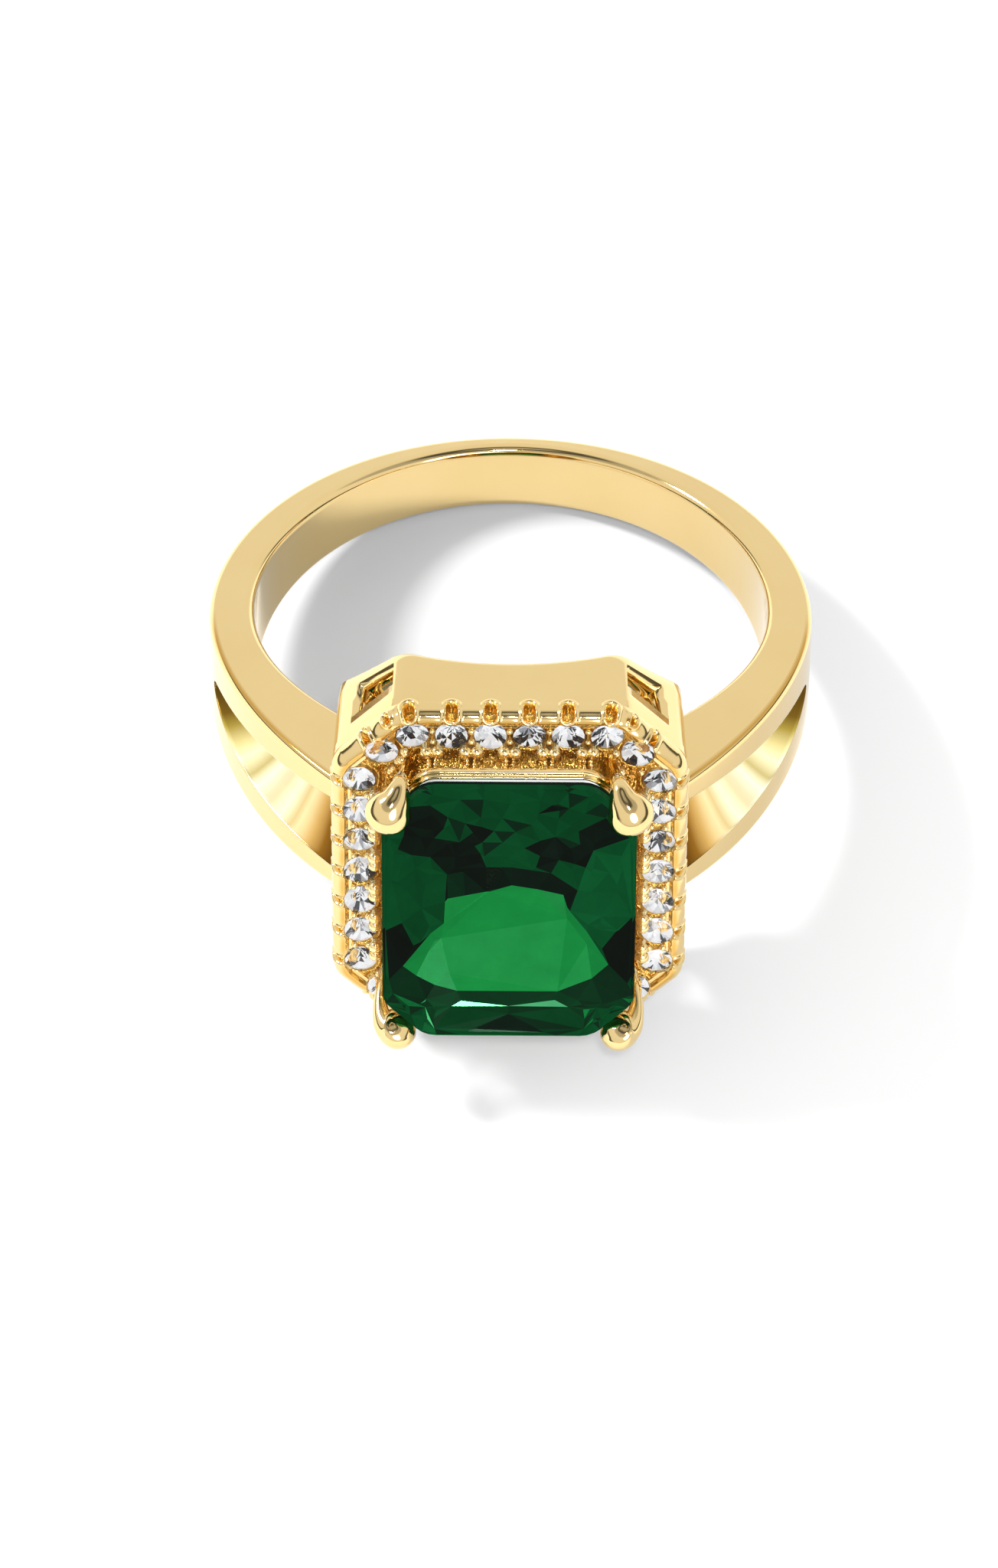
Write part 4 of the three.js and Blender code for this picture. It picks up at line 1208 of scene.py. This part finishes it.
def stone_front(outline, outs):
    """Table, bevels and girdle: points, faces, and the tone and material of each face."""
    count = len(outline)
    levels = [(CROWN_INSET, TABLE_Z), (0, GIRDLE_TOP), (0, GIRDLE_LOW)]
    points = [(*(p - o * inset), z) for inset, z in levels for p, o in zip(outline, outs)]
    faces = [list(range(count))] + [list(f) for f in grid_faces(3, count, False, True)]
    # The girdle's faces carry painted tones: dark, with a painted bright reflection along the lower edge.
    tones = [0.5] + [0.2] * count + [0.1 if out[1] > -0.9 else 0.8 for out in outs]
    materials = [TABLE] + [FACE if out[1] > 0.3 else TABLE for out in outs] + [BACK] * count
    return points, faces, tones, materials


def stone_back(outline):
    """Back facets inside the girdle's outline: points, triangles and the tone of each."""
    count = len(outline)
    corners, edges = back_corners()
    flat = [Vector(p) for p in [(x, y + GIRDLE_SHIFT) for x, y in outline] + corners]
    forced = [(k, (k + 1) % count) for k in range(count)] + [(a + count, b + count) for a, b in edges]
    spots, _, triangles, origins, _, _ = delaunay_2d_cdt(flat, forced, [], 1, 1e-4)
    places = []
    for spot, origin in zip(spots, origins):
        source = [o for o in origin if o < count]
        places.append((*outline[source[0]], GIRDLE_LOW) if source else true_place(spot.x, spot.y))
    rng = random.Random(31)
    middles = [sum((spots[v] for v in triangle), Vector((0, 0))) / len(triangle) for triangle in triangles]
    return places, triangles, [patch_tone(middle.x, middle.y, rng) for middle in middles]


def build_stone():
    outline, outs = rounded_outline(**STONE, counts=(3, 7, 1, 6))
    points, faces, tones, materials = stone_front(outline, outs)
    places, triangles, back_tones = stone_back(outline)
    faces += [[v + len(points) for v in triangle] for triangle in triangles]
    piece = make_object("large_stone", points + places, faces, [GREEN_FACE, GREEN_BACK, GREEN_TABLE], False,
                        tones + back_tones, indices=materials + [BACK] * len(triangles))
    face_outwards(piece, 0.0005)
    seat(piece, "green_stone", "centre_stone")


# ---- studio ----

def build_floor():
    material, tree, shader = new_material("studio_floor")
    feed(tree, shader, {
        "Base Color": ramp(tree, noise(tree, 30, 2), [(0.3, grey(0.90)), (0.7, grey(0.92))]),
        "Roughness": 0.9, "Specular IOR Level": 0.1,
        "Emission Color": (1, 1, 1, 1), "Emission Strength": 0.07,
    })
    mesh = bpy.data.meshes.new("studio_floor")
    size = 0.22
    corners = [(-size, -size, 0), (size, -size, 0), (size, size, 0), (-size, size, 0)]
    mesh.from_pydata(corners, [], [(0, 1, 2, 3)])
    mesh.materials.append(material)
    floor = add_object("studio_floor", mesh)


def build_world():
    """A graded sky for the gold to reflect, with a dark patch at each side near the floor."""
    world = bpy.data.worlds.new("studio")
    world.use_nodes = True
    tree = world.node_tree
    tree.nodes.clear()
    place = new_node(tree, "TexCoord").outputs["Generated"]
    x, y, z = new_node(tree, "SeparateXYZ", {"Vector": place}).outputs
    sky = ramp(tree, z, [
        (0.0, grey(0.75)), (0.08, grey(0.98)), (0.70, grey(1.0)), (0.74, grey(0.58)), (0.90, grey(0.5)),
        (0.93, grey(0.1)), (0.97, grey(0.1)), (1.0, grey(0.6))])
    open_side = ramp(tree, y, [(0.3, grey(0)), (0.6, grey(1))])
    opened = mixed(tree, open_side, sky, (0.98, 0.98, 0.98, 1))
    low = ramp(tree, z, [(0.0, grey(1)), (0.12, grey(1)), (0.2, grey(0))])
    aside = ramp(tree, calculated(tree, "ABSOLUTE", x), [(0.62, grey(0)), (0.85, grey(1))])
    colour = mixed(tree, calculated(tree, "MULTIPLY", low, aside), opened, (0.10, 0.10, 0.09, 1))
    background = new_node(tree, "Background", {"Color": colour})
    new_node(tree, "OutputWorld", {"Surface": background.outputs["Background"]})
    bpy.context.scene.world = world


def add_light(name, place, size, energy):
    """A round lamp that faces the middle of the floor."""
    data = bpy.data.lights.new(name, "AREA")
    data.shape = "DISK"
    data.size = size
    data.energy = energy
    light = add_object(name, data)
    light.location = place
    light.rotation_euler = (-Vector(place)).to_track_quat("-Z", "Y").to_euler()


VIEW_TILT = 41.81  # degrees from straight onto the stone towards its upper edge
VIEW_ROLL = 0.36
VIEW_DISTANCE = 0.3
AIM_OFFSET = (-0.00036, -0.00472)  # from the ring's centre, across and up the picture


def build_camera():
    data = bpy.data.cameras.new("camera")
    data.lens = 203.2
    data.sensor_width = 36
    data.clip_start = 0.01
    tilt = math.radians(VIEW_TILT)
    towards = OUT * math.cos(tilt) + ALONG * math.sin(tilt)
    place = CENTRE + towards * VIEW_DISTANCE
    up = towards.cross(ACROSS)
    aim = CENTRE + ACROSS * AIM_OFFSET[0] + up * AIM_OFFSET[1]
    back = (place - aim).normalized()
    right = up.cross(back).normalized()
    upright = Matrix((right, back.cross(right), back)).transposed()
    camera = add_object("camera", data)
    camera.matrix_world = (Matrix.Translation(place)
                           @ (upright @ Matrix.Rotation(math.radians(VIEW_ROLL), 3, "Z")).to_4x4())
    bpy.context.scene.camera = camera


build_band()
build_wall()
build_struts()
build_tray()
build_beads()
build_basket()
build_rail()
build_claws()
build_halo_stones()
build_stone()
build_floor()
build_world()
add_light("key", (-0.38, 0.17, 0.38), 0.12, 2.5)
add_light("top", (0.02, -0.20, 0.42), 0.05, 0.35)
add_light("front", (0.16, -0.40, 0.26), 0.3, 1.0)
build_camera()
bpy.context.scene.view_settings.view_transform = "Standard"
bpy.context.scene.cycles.caustics_reflective = False
bpy.context.scene.cycles.caustics_refractive = False
